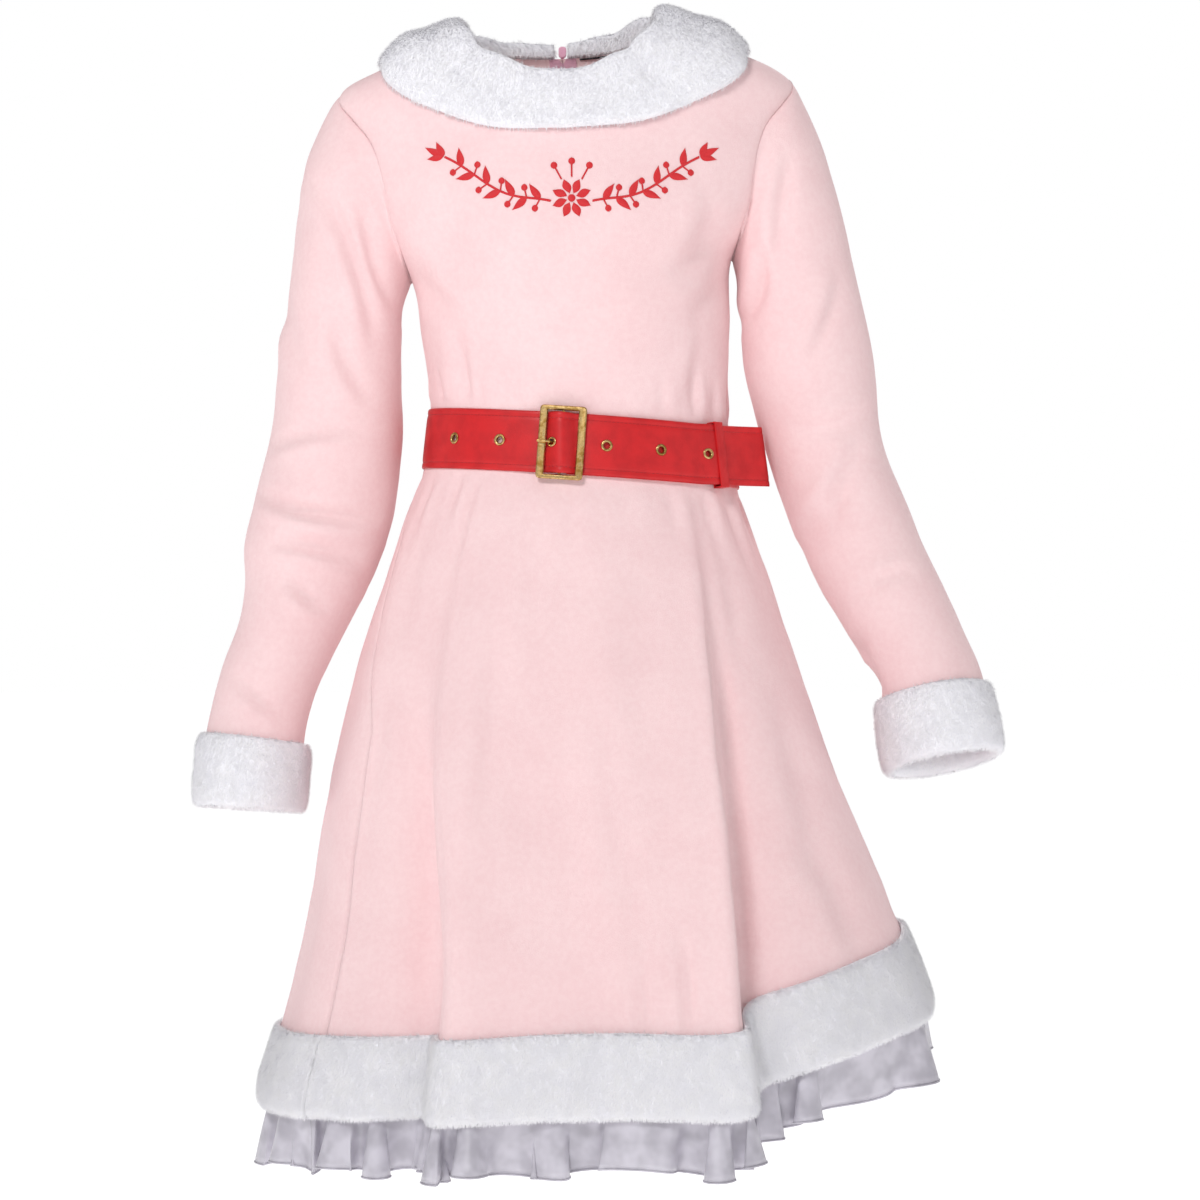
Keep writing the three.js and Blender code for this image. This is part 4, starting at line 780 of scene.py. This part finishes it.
def pile(name, base, count, length, seed, keep=None):
    """Thin blades on a piece of fur: each stands out from it, leans with the fall and a little at random."""
    mesh = base.data
    mesh.calc_loop_triangles()
    places = np.array([vertex.co for vertex in mesh.vertices]) / MM
    normals = np.array([vertex.normal for vertex in mesh.vertices])
    corners = np.array([triangle.vertices for triangle in mesh.loop_triangles])
    first, second, third = (places[corners[:, i]] for i in range(3))
    areas = np.linalg.norm(np.cross(second - first, third - first), axis=1)
    middles = (first + second + third) / 3
    facing = direction(normals[corners].sum(axis=1))
    if keep is not None:
        areas = areas * keep(middles, facing)
    draw = np.random.default_rng(seed)
    chosen = draw.choice(len(corners), count, p=areas / areas.sum())
    shares = draw.random((count, 2))
    shares[shares.sum(axis=1) > 1] = 1 - shares[shares.sum(axis=1) > 1]
    a, b = shares[:, :1], shares[:, 1:]
    root = first[chosen] * (1 - a - b) + second[chosen] * a + third[chosen] * b
    normal = direction(normals[corners[chosen, 0]] * (1 - a - b) + normals[corners[chosen, 1]] * a
                       + normals[corners[chosen, 2]] * b)
    tufts = np.stack([lumps(root, 9, seed + axis) for axis in range(3)], -1)
    lay = np.array([0, 0, -1]) + 0.4 * tufts + draw.normal(0, 0.28, (count, 3))
    lay = direction(lay - normal * (lay * normal).sum(axis=1, keepdims=True))
    way = direction(draw.uniform(0.35, 0.9, (count, 1)) * normal + lay)
    side = direction(np.cross(way, normal))
    reach = length * draw.uniform(0.7, 1.15, (count, 1))
    root = root - 0.6 * normal
    blades = np.stack([root - side * BLADE_WIDTH / 2, root + side * BLADE_WIDTH / 2, root + way * reach], 1)
    pile_mesh = bpy.data.meshes.new(name)
    faces = np.arange(3 * count).reshape(-1, 3)
    pile_mesh.from_pydata((blades.reshape(-1, 3) * MM).tolist(), [], faces.tolist())
    shading = direction(normal + 0.12 * lay)
    pile_mesh.shade_smooth()
    pile_mesh.normals_split_custom_set_from_vertices(np.repeat(shading, 3, axis=0).tolist())
    return add_piece(pile_mesh, FUR_PILE)


# Collar: fur cloth sewn to the neckline, rolled over at the neck and lying on shoulders and chest.
# It is open at the centre back, over the zip.
COLLAR_EDGE = Table(
    "turn z angle",
    (0, -100, 0), (25, -95, 20), (50, -71, 38), (72, -40, 58), (82, -31, 73), (90, -28, 90),
    (98, -31, 107), (110, -42, 124), (135, -64, 144), (180, -78, 180),
)
COLLAR_OPENING = 4.4
COLLAR_STEPS = 150
COLLAR_SECTION = 44


def collar_loops(turn):
    side = np.where(turn < 0, -1, 1)
    edge_height = COLLAR_EDGE("z", np.abs(turn))
    edge_angle = side * COLLAR_EDGE("angle", np.abs(turn))
    angle, height = neckline(turn)
    ridge = np.abs(np.sin(np.radians(turn))) ** 8
    rest = 1 + 2.2 * ridge
    crest = 11 + 3 * np.abs(np.sin(np.radians(turn))) + 9 * np.exp(-((turn - 128) / 30) ** 2)
    puff = np.abs(np.sin(np.radians(turn))) ** 5
    outward = np.stack([np.sin(np.radians(turn)), -np.cos(np.radians(turn)), 0 * turn], -1)
    seam = skin(angle, height)

    def on(share, out):
        spot = (mix(angle, edge_angle, share), mix(height, edge_height, share))
        return skin(*spot) + skin_normal(*spot) * np.broadcast_to(out, turn.shape)[:, None]

    def at(out, up):
        return seam + outward * (out + 0 * turn)[:, None] + np.stack([0 * turn, 0 * turn, up + 0 * turn], -1)

    loops = [
        at(-3.5, 0.5 + ridge), on(0.07, rest + 0.3), on(0.35, rest), on(0.65, rest), on(0.9, rest),
        on(0.965, rest + 1), on(0.97, 3.5 + rest), on(0.9, 6.5 + rest + 3 * puff),
        on(0.62, 8 + 14 * puff), on(0.33, 9 + 11 * puff),
        at(4 + 5 * puff, crest + 2 * puff), at(-2, crest), at(-5.5, 6), at(-5.5, 1.5),
    ]
    return np.stack(loops)


def plumped(points, shown, large, small, dents=0):
    """Stands a stuffed body out from its middle line in lumps of (depth, size, seed), where it shows."""
    outward = direction(points - points[:, :-1].mean(axis=1, keepdims=True))
    waves = sum(depth * lumps(points, size, seed) for depth, size, seed in (large, small))
    return points + outward * ((dents + waves) * shown)[..., None]


# Dimples of the collar: turn round the neck, spread in degrees, depth
DIMPLES = [
    (-50, 9, 4.5), (-18, 10, 2), (14, 9, 1.5), (41, 6, 4.0), (72, 8, 2.5), (-82, 7, 2.0),
    (112, 9, 3.5), (-112, 10, 3.5), (146, 8, 3), (-142, 9, 3),
]
turns = np.linspace(COLLAR_OPENING - 180, 180 - COLLAR_OPENING, COLLAR_STEPS + 1)
collar_points = np.swapaxes(through(collar_loops(turns), COLLAR_SECTION, closed=True), 0, 1)
section = np.linspace(0, 1, COLLAR_SECTION + 1)
on_face = ease(0.38, 0.5, section) * ease(0.98, 0.86, section)
dents = sum(-depth * np.exp(-((turns - turn) / spread) ** 2) for turn, spread, depth in DIMPLES)
collar_points = plumped(collar_points, on_face, (2.2, 44, 3), (0.4, 20, 5), dents[:, None])
collar_mesh = sheet_mesh("collar_base", collar_points, weld=True, cap=True)
collar = add_piece(collar_mesh, FUR_BASE, ("collar",))
on_top = lambda middles, facing: np.where((facing[:, 2] > -0.45) | (middles[:, 2] > -20), 1.0, 0.12)
collar_pile = pile("collar_pile", collar, 95000, 5.2, 11, on_top)


# Cuffs: a strip of fur cloth folded up outside the sleeve's end, and turned into its mouth.
def ring_out(ring, out):
    arms = ring - ring[:-1].mean(axis=0)
    return ring + direction(arms) * out


CUFF_SECTION = 52
CUFF_PROFILE = [
    # share of the last sleeve step, distance out from the sleeve
    (0.05, 0.4), (0.5, 0.4), (0.98, 0.4), (1.0, -2.4), (0.7, -2.4), (0.64, -3.6),
    (0.72, -5.2), (0.95, -5.4), (1.05, -3.2), (1.1, 0.5), (1.09, 4), (1.02, 6.6),
    (0.8, 8.2), (0.5, 8.2), (0.25, 7.6), (0.06, 5.6), (0.0, 2.2),
]


def cuff(name, rings, seed):
    start, end = rings[-2], rings[-1]
    loops = np.stack([ring_out(mix(start, end, share), out) for share, out in CUFF_PROFILE])
    points = through(loops, CUFF_SECTION, closed=True)
    section = np.linspace(0, 1, CUFF_SECTION + 1)[:, None]
    outside = ease(0.5, 0.6, section) * ease(1, 0.95, section)
    points = plumped(points, outside, (2.0, 34, seed), (0.5, 17, seed + 3))
    base = add_piece(sheet_mesh(name + "_base", points, weld=True), FUR_BASE, (name,))
    middle = end[:-1].mean(axis=0)
    outer = lambda middles, facing: np.where(((middles - middle) * facing).sum(axis=1) > -60, 1.0, 0.4)
    hairs = pile(name + "_pile", base, 48000, 5, seed, outer)


cuff("cuff_right", right_rings, 21)
cuff("cuff_left", left_rings, 31)


# Hem band: fur cloth sewn round the hem in two lengths, over the skirt and turned under its edge.
BAND_SECTION = 40
BAND_PROFILE = [
    # height above the skirt's edge, distance out from the skirt
    (-6, 0.5), (0, 0.6), (20, 0.6), (45, 0.6), (59.5, 0.7), (60.5, 2.6), (58, 4.6),
    (50, 5.6), (30, 6), (10, 6), (-1, 5.6), (-5.5, 4.2), (-7, 2.2),
]


def edge_angles(plan, steps):
    column = np.linspace(0, plan["columns"], steps + 1)
    return line_angle(plan["lines"], column, SKIRT_END + 0 * column)


def hem_band(name, angles, seed, hairs):
    hem = hem_height(angles)
    loops = []
    for rise, out in BAND_PROFILE:
        loops.append(skin(angles, hem + rise) + skin_normal(angles, hem + rise) * out)
    points = np.swapaxes(through(np.stack(loops), BAND_SECTION, closed=True), 0, 1)
    section = np.linspace(0, 1, BAND_SECTION + 1)
    outside = ease(0.4, 0.5, section) * ease(1, 0.95, section)
    points = plumped(points, outside, (1.8, 44, seed), (0.4, 20, seed + 3))
    base = add_piece(sheet_mesh(name + "_base", points, weld=True, cap=True), FUR_BASE, (name,))
    outer = lambda middles, facing: np.where((facing * middles)[:, :2].sum(axis=1) > -12, 1.0, 0.0)
    grown = pile(name + "_pile", base, hairs, 5.2, seed, outer)


hem_band("hem_trim_front", edge_angles(front_edges(), 190), 41, 105000)
back_angles = np.concatenate([edge_angles(back_edges(1), 110), 360 + edge_angles(back_edges(-1), 130)[1:]])


def wrapped(angles):
    return (angles + 180) % 360 - 180


hem_band("hem_trim_back", wrapped(back_angles), 51, 120000)


# Frill: satin organza gathered on under the hem, falling in crisp uneven waves with a rolled edge.
FRILL_DROP = 52
FRILL_CLOTH = 0.4
FRILL_ROWS = 12
FRILL_TOP = -20
FRILL_WAVE = 15
ROLLED_EDGE = 0.75
FRILL_SLIDE = 8.5


def frill_finish():
    finish = Finish("white_satin_painted_shade", Roughness=0.3, Specular_IOR_Level=0.8, Sheen_Weight=0.25,
                    Sheen_Roughness=0.3)
    threads = finish.place.noise(1500, 2)
    clouds = finish.place.noise(45, 2)
    tone = clouds.between(0.3, 0.7)
    # Base colour greyed well below white: painted shade for the shade under the fur hem band and the dark
    # seen through the thin cloth. The clouds vary it at random.
    finish.feed("Base Color", tone.colours(tint(176, 172, 182), tint(208, 204, 214)))
    finish.feed("Roughness", 0.24 + 0.22 * threads)
    finish.bump(0.7 * threads + 0.3 * finish.place.noise(160, 2), 0.0006, 0.5)
    return finish.material


WHITE_SATIN_PAINTED_SHADE = frill_finish()


def frill(name, angles, waves):
    steps = len(angles) - 1
    share = np.linspace(0, 1, steps + 1)
    hem = hem_height(angles)
    top = skin(angles, hem) - skin_normal(angles, hem) * 3
    outward = skin_normal(angles, hem) * [1, 1, 0]
    outward = direction(outward)
    around = np.stack([-outward[:, 1], outward[:, 0], 0 * share], -1)
    phase = 2 * np.pi * (waves * share + 0.22 * np.sin(17 * share + 1) + 0.13 * np.sin(41 * share))
    height = 1 + 0.3 * np.sin(23 * share + 0.7) + 0.15 * np.sin(57 * share)
    fade = ease(0, 0.02, share) * ease(1, 0.98, share)
    crisp = 2 / np.pi * np.arcsin(0.97 * np.sin(phase))
    rows = []
    for row in range(FRILL_ROWS + 1):
        drop = mix(FRILL_TOP, FRILL_DROP, row / FRILL_ROWS)
        low = np.clip(drop / FRILL_DROP, 0, 1)
        out = FRILL_WAVE * height * crisp * low ** 0.7 + 4 * low ** 1.5 * np.sin(2.7 * phase + 1.3)
        slide = -FRILL_SLIDE * low * np.sin(2 * phase + 0.4 * np.sin(phase))
        z = -drop * (1 + 0.07 * np.sin(0.5 * phase + 1) * low)
        place = top + (outward * (out * fade)[:, None] + around * (slide * fade)[:, None])
        rows.append(place + np.stack([0 * share, 0 * share, z], -1))
    points = np.stack(rows)[::-1]
    piece = add_piece(sheet_mesh(name + "_satin", points), WHITE_SATIN_PAINTED_SHADE, (name,), FRILL_CLOTH)
    edge = tube(name + "_rolled_edge", points[0], ROLLED_EDGE, 6)
    rolled = add_piece(edge, WHITE_SATIN_PAINTED_SHADE)


def tube(name, line, radius, sides):
    """A round tube along a line of points."""
    along = direction(np.gradient(line, axis=0))
    side = direction(np.cross(along, [0.13, 0.05, 1.0]))
    other = np.cross(along, side)
    turn = np.linspace(0, 2 * np.pi, sides + 1)
    rings = (line[:, None] + radius * (side[:, None] * np.cos(turn)[None, :, None]
                                       + other[:, None] * np.sin(turn)[None, :, None]))
    return sheet_mesh(name, rings, weld=True, cap=True)


frill("ruffle_front", edge_angles(front_edges(), 420), 14)
back_steps = len(back_angles) - 1
halves = np.arange(2 * back_steps + 1) / 2
finer_angles = np.interp(halves, np.arange(back_steps + 1), back_angles)
frill("ruffle_back", wrapped(finer_angles), 16)


# Belt strap: red leathercloth on a firm core, with a stitched groove along each edge.
# From the buckle's bar it goes once round the waist, over the bar, and on to its free tip.
BUCKLE_ANGLE = -6.5
BELT_CLOTH = 2
BELT_REST = 1.0
KEEPER_PLACE = 145
KEEPER_LIFT = 3.8
BUCKLE_ROUTE = Table(
    "across depth",
    (-45, 1.0), (-24, 2.4), (-12, 3.4), (-2.5, 8.5), (2.5, 8.5), (11.6, 3.5), (24, 3.5), (60, 3.5),
)
TIP_TURN = 26
TIP_LENGTH = 48

ring_angles = np.linspace(-180, 180, 721)
ring_low = skin(ring_angles, BELT_MIDDLE - BELT_WIDTH / 2 + 0 * ring_angles)
ring_high = skin(ring_angles, BELT_MIDDLE + BELT_WIDTH / 2 + 0 * ring_angles)
ring_middle = (ring_low + ring_high) / 2
ring_run = np.concatenate([[0], np.cumsum(np.linalg.norm(np.diff(ring_middle, axis=0), axis=1))])
WAIST = ring_run[-1]
BUCKLE_RUN = np.interp(BUCKLE_ANGLE, ring_angles, ring_run)


def waist_at(distance, values):
    place = (BUCKLE_RUN + distance) % WAIST
    return np.stack([np.interp(place, ring_run, values[:, axis]) for axis in range(3)], -1)


def strap_stations():
    """Middle, half width and outward direction all along the strap."""
    distance = np.concatenate([np.arange(4, WAIST - 46, 5), WAIST + np.arange(-46, 26, 1.5),
                               WAIST + np.arange(26, KEEPER_PLACE + 8, 3)])
    lift = KEEPER_LIFT * ease(22, 7, np.abs(distance % WAIST - KEEPER_PLACE))
    depth = np.where(distance < WAIST - 45, BELT_REST, BUCKLE_ROUTE("depth", distance - WAIST)) + lift
    half = direction(waist_at(distance, ring_high) - waist_at(distance, ring_low)) * BELT_WIDTH / 2
    along = direction(waist_at(distance + 2, ring_middle) - waist_at(distance - 2, ring_middle))
    outward = direction(np.cross(along, half))
    centre = waist_at(distance, ring_middle) + outward * depth[:, None]
    turn = np.radians(-TIP_TURN) * np.linspace(0, 1, 5)[1:]
    last, way = centre[-1], along[-1] * [1, 1, 0]
    for i, angle in enumerate(turn):
        spin = np.array(Matrix.Rotation(angle, 3, "Z"))
        for _ in range(3):
            last = last + spin @ way * TIP_LENGTH / 12
            centre = np.vstack([centre, last])
            half = np.vstack([half, half[-1]])
            outward = np.vstack([outward, direction(np.cross(spin @ way, half[-1]))])
    return centre, half, outward


strap_centre, strap_half, strap_out = strap_stations()
GROOVE_PLACE = 0.79
GROOVE_WIDTH = 0.035
GROOVE_DEPTH = 0.55
STRAP_ROWS = 40


def strap_profile(share):
    """How far the strap's face stands out across its width."""
    groove = GROOVE_DEPTH * np.exp(-((np.abs(share) - GROOVE_PLACE) / GROOVE_WIDTH) ** 2)
    rounding = 0.7 * np.clip((np.abs(share) - 0.965) / 0.035, 0, 1) ** 2
    puff = 0.25 * (1 - (np.abs(share) / GROOVE_PLACE) ** 4) * (np.abs(share) < GROOVE_PLACE)
    return puff - groove - rounding


def leathercloth_finish():
    finish = Finish("red_leathercloth", Roughness=0.48, Specular_IOR_Level=0.42, Coat_Weight=0.12,
                    Coat_Roughness=0.35)
    grain = finish.place.node("TexVoronoi", {"feature": "SMOOTH_F1"}, {"Vector": finish.place, "Scale": 1100})
    mottle = finish.place.noise(70, 3)
    finish.feed("Base Color", mottle.between(0.3, 0.75).colours(tint(206, 22, 28), tint(188, 14, 22)))
    finish.feed("Roughness", 0.4 + 0.2 * mottle)
    finish.bump(0.6 * grain + 0.4 * finish.place.noise(500, 3), 0.0004, 0.4)
    return finish.material


RED_LEATHERCLOTH = leathercloth_finish()
across = np.linspace(-1, 1, STRAP_ROWS + 1)[:, None]
strap_points = (strap_centre[None] + strap_half[None] * across[..., None]
                + strap_out[None] * (BELT_CLOTH / 2 + strap_profile(across))[..., None])
strap_mesh = sheet_mesh("belt_strap_leathercloth", strap_points)
strap = add_piece(strap_mesh, RED_LEATHERCLOTH, ("belt_strap",), BELT_CLOTH)


def nearest_station(place):
    """The outer layer's station next to a place, with its outward and lengthways directions."""
    outer = len(strap_centre) // 3
    gaps = np.linalg.norm(strap_centre[outer:] - place, axis=1)
    index = outer + int(gaps.argmin())
    along = direction(strap_centre[min(index + 1, len(strap_centre) - 1)] - strap_centre[index - 1])
    return index, strap_out[index], along


# Eyelets: six rolled brass rings pressed through the strap, each with a hole right through.
EYELET_COUNT = 6
HOLE = 3.5
EYELET_SIDES = 32
# Section of a rolled eyelet: distance from its middle, height over the strap
EYELET_PROFILE = [
    (2.85, -2.2), (2.85, 0.2), (3.2, 0.75), (3.9, 0.95), (4.7, 0.7), (5.1, 0.1), (4.4, -0.1),
    (3.3, -0.4), (3.3, -2.2),
]


def brass_finish():
    finish = Finish("antique_brass", Metallic=1.0)
    worn = finish.place.noise(260, 4, 0.6)
    clouds = finish.place.noise(60, 2)
    dark = (0.6 * worn + 0.4 * clouds).between(0.38, 0.62)
    finish.feed("Base Color", dark.colours(tint(222, 190, 132), tint(150, 116, 58)))
    finish.feed("Roughness", 0.26 + 0.24 * dark)
    finish.bump(worn, 0.0003, 0.4)
    return finish.material


ANTIQUE_BRASS = brass_finish()
eyelets = bmesh.new()
cutters = bmesh.new()
for number in range(1, EYELET_COUNT + 1):
    low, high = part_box(f"eyelet_{number}")
    middle = np.array((low + high) / 2) / MM
    index, out, along = nearest_station(middle)
    up = np.cross(out, along)
    face = strap_centre[index] + out * (BELT_CLOTH / 2 + 0.25)
    centre = middle + out * ((face - middle) @ out)
    turned = Matrix(np.column_stack([along, up, out]).tolist()).to_4x4()
    placed = Matrix.Translation(centre * MM) @ turned
    ring = bmesh.new()
    edge = [ring.verts.new((radius * MM, 0, rise * MM)) for radius, rise in EYELET_PROFILE]
    joined = [ring.edges.new((edge[i], edge[(i + 1) % len(edge)])) for i in range(len(edge))]
    bmesh.ops.spin(ring, geom=edge + joined, cent=(0, 0, 0), axis=(0, 0, 1), angle=2 * np.pi,
                   steps=EYELET_SIDES, use_merge=True)
    bmesh.ops.remove_doubles(ring, verts=ring.verts, dist=0.000005)
    bmesh.ops.recalc_face_normals(ring, faces=ring.faces)
    bmesh.ops.transform(ring, matrix=placed, verts=ring.verts)
    scratch = finished("scratch", ring)
    eyelets.from_mesh(scratch)
    bpy.data.meshes.remove(scratch)
    bmesh.ops.create_cone(cutters, cap_ends=True, segments=24, radius1=HOLE * MM, radius2=HOLE * MM,
                          depth=5.5 * MM, matrix=placed)
eyelet_mesh = finished("eyelet_rings", eyelets)
eyelet_mesh.shade_smooth()
add_piece(eyelet_mesh, ANTIQUE_BRASS, tuple(f"eyelet_{n}" for n in range(1, EYELET_COUNT + 1)))
cutter = added("hole_cutters", finished("hole_cutters", cutters))
holes = strap.modifiers.new("holes", "BOOLEAN")
holes.operation = "DIFFERENCE"
holes.solver = "EXACT"
holes.object = cutter
bpy.context.view_layer.update()
punched = bpy.data.meshes.new_from_object(strap.evaluated_get(bpy.context.evaluated_depsgraph_get()))
strap.modifiers.clear()
strap.data = punched
punched.name = "belt_strap_leathercloth"
bpy.data.objects.remove(cutter)


# Belt stitching: short red stitches that lie in the two grooves.
STITCH_LENGTH = 2.6
STITCH_PITCH = 3.6
strap_run = np.concatenate([[0], np.cumsum(np.linalg.norm(np.diff(strap_centre, axis=0), axis=1))])


def strap_value(run, values):
    return np.array([np.interp(run, strap_run, values[:, axis]) for axis in range(3)])


stitching = bmesh.new()
for edge_side in (-1, 1):
    for run in np.arange(STITCH_PITCH, strap_run[-1] - STITCH_PITCH, STITCH_PITCH):
        out = direction(strap_value(run, strap_out))
        half = strap_value(run, strap_half)
        along = direction(np.cross(half, out))
        centre = strap_value(run, strap_centre) + half * edge_side * GROOVE_PLACE
        centre = centre + out * (BELT_CLOTH / 2 - GROOVE_DEPTH + 0.12)
        size = np.column_stack([along * STITCH_LENGTH, direction(half) * 0.5, out * 0.45])
        turned = Matrix((size * MM).tolist()).to_4x4()
        bmesh.ops.create_cube(stitching, size=1, matrix=Matrix.Translation(centre * MM) @ turned)
stitch_mesh = finished("belt_stitches", stitching)


def thread_finish(name, pale, deep):
    finish = Finish(name, Roughness=0.55, Specular_IOR_Level=0.4, Sheen_Weight=0.2)
    finish.feed("Base Color", finish.place.noise(900, 2).colours(pale, deep))
    return finish.material


add_piece(stitch_mesh, thread_finish("belt_thread", tint(190, 20, 28), tint(150, 10, 20)))


# Hard pieces kept from the frame's own shapes, with their edges rounded: the keeper loop, the
# buckle with its prong, and the zip's slider and pull.
def rounded_copy(node, material, edge, body=BODY):
    shape = bmesh.new()
    shape.from_mesh(nodes[node].data)
    bmesh.ops.remove_doubles(shape, verts=shape.verts, dist=0.00001)
    bmesh.ops.dissolve_limit(shape, angle_limit=np.radians(3), verts=shape.verts, edges=shape.edges)
    mesh = finished(node + "_rounded", shape)
    piece = added(mesh.name, mesh)
    mesh.materials.append(material)
    mesh.shade_smooth()
    bevel = piece.modifiers.new("rounded", "BEVEL")
    bevel.width = edge * MM
    bevel.segments = 3
    bevel.limit_method = "ANGLE"
    bevel.angle_limit = np.radians(35)
    bevel.use_clamp_overlap = True
    bevel.harden_normals = True
    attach(piece, body)
    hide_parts(node)
    return piece


rounded_copy("belt_keeper", RED_LEATHERCLOTH, 0.4)
rounded_copy("buckle_frame", ANTIQUE_BRASS, 0.5)
rounded_copy("buckle_prong", ANTIQUE_BRASS, 0.3)


def lacquer_finish():
    finish = Finish("pink_lacquer", Roughness=0.35, Specular_IOR_Level=0.5, Coat_Weight=0.4,
                    Coat_Roughness=0.2)
    chips = finish.place.noise(700, 3).between(0.62, 0.7)
    finish.feed("Base Color", chips.colours(tint(240, 176, 202), tint(214, 150, 178)))
    finish.bump(finish.place.noise(900, 2), 0.0002, 0.3)
    return finish.material


PINK_LACQUER = lacquer_finish()
rounded_copy("zip_slider", PINK_LACQUER, 0.35)
rounded_copy("zip_pull", PINK_LACQUER, 0.3, body="pull")


# Zip tapes and neck label: woven tapes sewn inside the centre back. The label is plain black.
def tape_finish(name, pale, deep, rib):
    finish = Finish(name, Roughness=0.75, Specular_IOR_Level=0.3)
    wanted = {"Vector": finish.place, "Scale": rib, "Distortion": 0.4, "Detail": 1.0}
    ribs = finish.place.node("TexWave", {"bands_direction": "Z"}, wanted, output=1)
    finish.feed("Base Color", (0.5 * ribs + 0.5 * finish.place.noise(500, 2)).colours(deep, pale))
    finish.bump(ribs, 0.0003, 0.6)
    return finish.material


def dress_node(node, material):
    nodes[node].data.materials.clear()
    nodes[node].data.materials.append(material)


PINK_TAPE = tape_finish("pink_tape", tint(236, 186, 204), tint(214, 160, 182), 260)
dress_node("zip_tape_left", PINK_TAPE)
dress_node("zip_tape_right", PINK_TAPE)
dress_node("label", tape_finish("black_tape", tint(34, 33, 38), tint(14, 13, 17), 420))


# Chest embroidery: red satin stitch in a generic vine with leaves, buds, berries and a rosette.
# Every thread is a low ridge laid on the front's own cloth.
VINE_MIDDLE = 5
VINE_HALF = 112
VINE_LOW = -166
VINE_RISE = 46
THREAD_PITCH = 0.62
stitches = []


def vine(share):
    """Place of the vine's stem, from -1 at the wearer's right to 1 at the left."""
    wave = 2.6 * np.sin(9 * np.abs(share))
    return np.array([VINE_MIDDLE + VINE_HALF * share, VINE_LOW + VINE_RISE * abs(share) ** 1.7 + wave])


def satin_leaf(base, heading, length, width, point=0.75):
    """Threads laid across a leaf: it starts at base and runs along its heading in degrees."""
    way = np.array([np.cos(np.radians(heading)), np.sin(np.radians(heading))])
    side = np.array([-way[1], way[0]])
    for along in np.arange(0.3, length, THREAD_PITCH):
        half = width / 2 * np.sin(np.pi * (along / length) ** point)
        slant = 0.35 * half
        middle = base + way * along
        stitches.append((middle - side * half - way * slant, middle + side * half + way * slant * 0.2))


def satin_line(line, width):
    """Short threads laid aslant along a line."""
    steps = np.linalg.norm(np.diff(line, axis=0), axis=1)
    run = np.concatenate([[0], np.cumsum(steps)])
    for place in np.arange(0, run[-1], THREAD_PITCH):
        middle = np.array([np.interp(place, run, line[:, axis]) for axis in (0, 1)])
        ahead = np.array([np.interp(place + 0.5, run, line[:, axis]) for axis in (0, 1)])
        way = direction(ahead - middle) if place + 0.5 < run[-1] else way
        side = np.array([-way[1], way[0]])
        stitches.append((middle - side * width / 2 - way * 0.3, middle + side * width / 2 + way * 0.3))


def berry(centre, radius):
    for height in np.arange(-radius + 0.2, radius, THREAD_PITCH):
        half = np.sqrt(max(radius ** 2 - height ** 2, 0.04))
        stitches.append((centre + [-half, height], centre + [half, height]))


for side in (-1, 1):
    satin_line(np.array([vine(side * share) for share in np.linspace(0.16, 0.97, 60)]), 2.0)
    for share, above in [(0.24, 1), (0.34, -1), (0.44, 1), (0.54, -1), (0.64, 1), (0.74, -1), (0.84, 1)]:
        place = vine(side * share)
        ahead = vine(side * (share + 0.02)) - place
        heading = np.degrees(np.arctan2(ahead[1], ahead[0]))
        lean = heading + side * above * 48
        satin_leaf(place, lean, 16, 6.4)
        stalk = np.radians(heading + side * above * -70)
        tip = place + 9 * np.array([np.cos(stalk), np.sin(stalk)])
        satin_line(np.linspace(place, tip, 6), 1.3)
        berry(tip, 2.7)
    end = vine(side * 0.98)
    ahead = end - vine(side * 0.95)
    heading = np.degrees(np.arctan2(ahead[1], ahead[0]))
    for turn, length in [(-36, 14), (0, 18), (36, 14)]:
        satin_leaf(end, heading + turn, length, 6.2)
rosette = np.array([VINE_MIDDLE, VINE_LOW + 7])
for petal in range(8):
    heading = 45 * petal + 22.5
    away = np.array([np.cos(np.radians(heading)), np.sin(np.radians(heading))])
    satin_leaf(rosette + 4.2 * away, heading, 13, 7.0, 1.1)
berry(rosette, 3.2)
for heading in (62, 90, 118):
    away = np.array([np.cos(np.radians(heading)), np.sin(np.radians(heading))])
    stem = np.linspace(rosette + 18.5 * away, rosette + 30 * away, 6)
    satin_line(stem, 1.4)
    berry(stem[-1] + 2 * away, 2.9)


def embroidery_mesh():
    """Each thread arches from one side of its motif to the other, on the cloth."""
    cloth = front.evaluated_get(bpy.context.evaluated_depsgraph_get())
    surface = BVHTree.FromObject(cloth, bpy.context.evaluated_depsgraph_get())
    share = np.linspace(0, 1, 5)
    rise = np.array([0.1, 0.6, 0.8, 0.6, 0.1])
    corners, faces = [], []
    for start, end in stitches:
        way = direction(end - start)
        side = np.array([-way[1], way[0]]) * THREAD_PITCH * 0.62
        first = len(corners)
        for part, lift in zip(share, rise):
            middle = mix(start, end, part)
            for shift, extra in ((-1, 0), (0, 0.3), (1, 0)):
                x, z = middle + side * shift
                hit, normal, _, _ = surface.ray_cast(Vector((x * MM, -0.4, z * MM)), Vector((0, 1, 0)))
                corners.append(hit + normal * (lift + extra) * MM)
        for step in range(len(share) - 1):
            for lane in (0, 1):
                low = first + 3 * step + lane
                faces.append((low, low + 1, low + 4, low + 3))
    mesh = bpy.data.meshes.new("chest_embroidery")
    mesh.from_pydata(corners, [], faces)
    shape = bmesh.new()
    shape.from_mesh(mesh)
    turned = [face for face in shape.faces if face.normal.y > 0]
    bmesh.ops.reverse_faces(shape, faces=turned)
    shape.to_mesh(mesh)
    shape.free()
    mesh.shade_smooth()
    return mesh


bpy.context.view_layer.update()
add_piece(embroidery_mesh(), thread_finish("red_thread", tint(222, 44, 50), tint(196, 24, 34)))
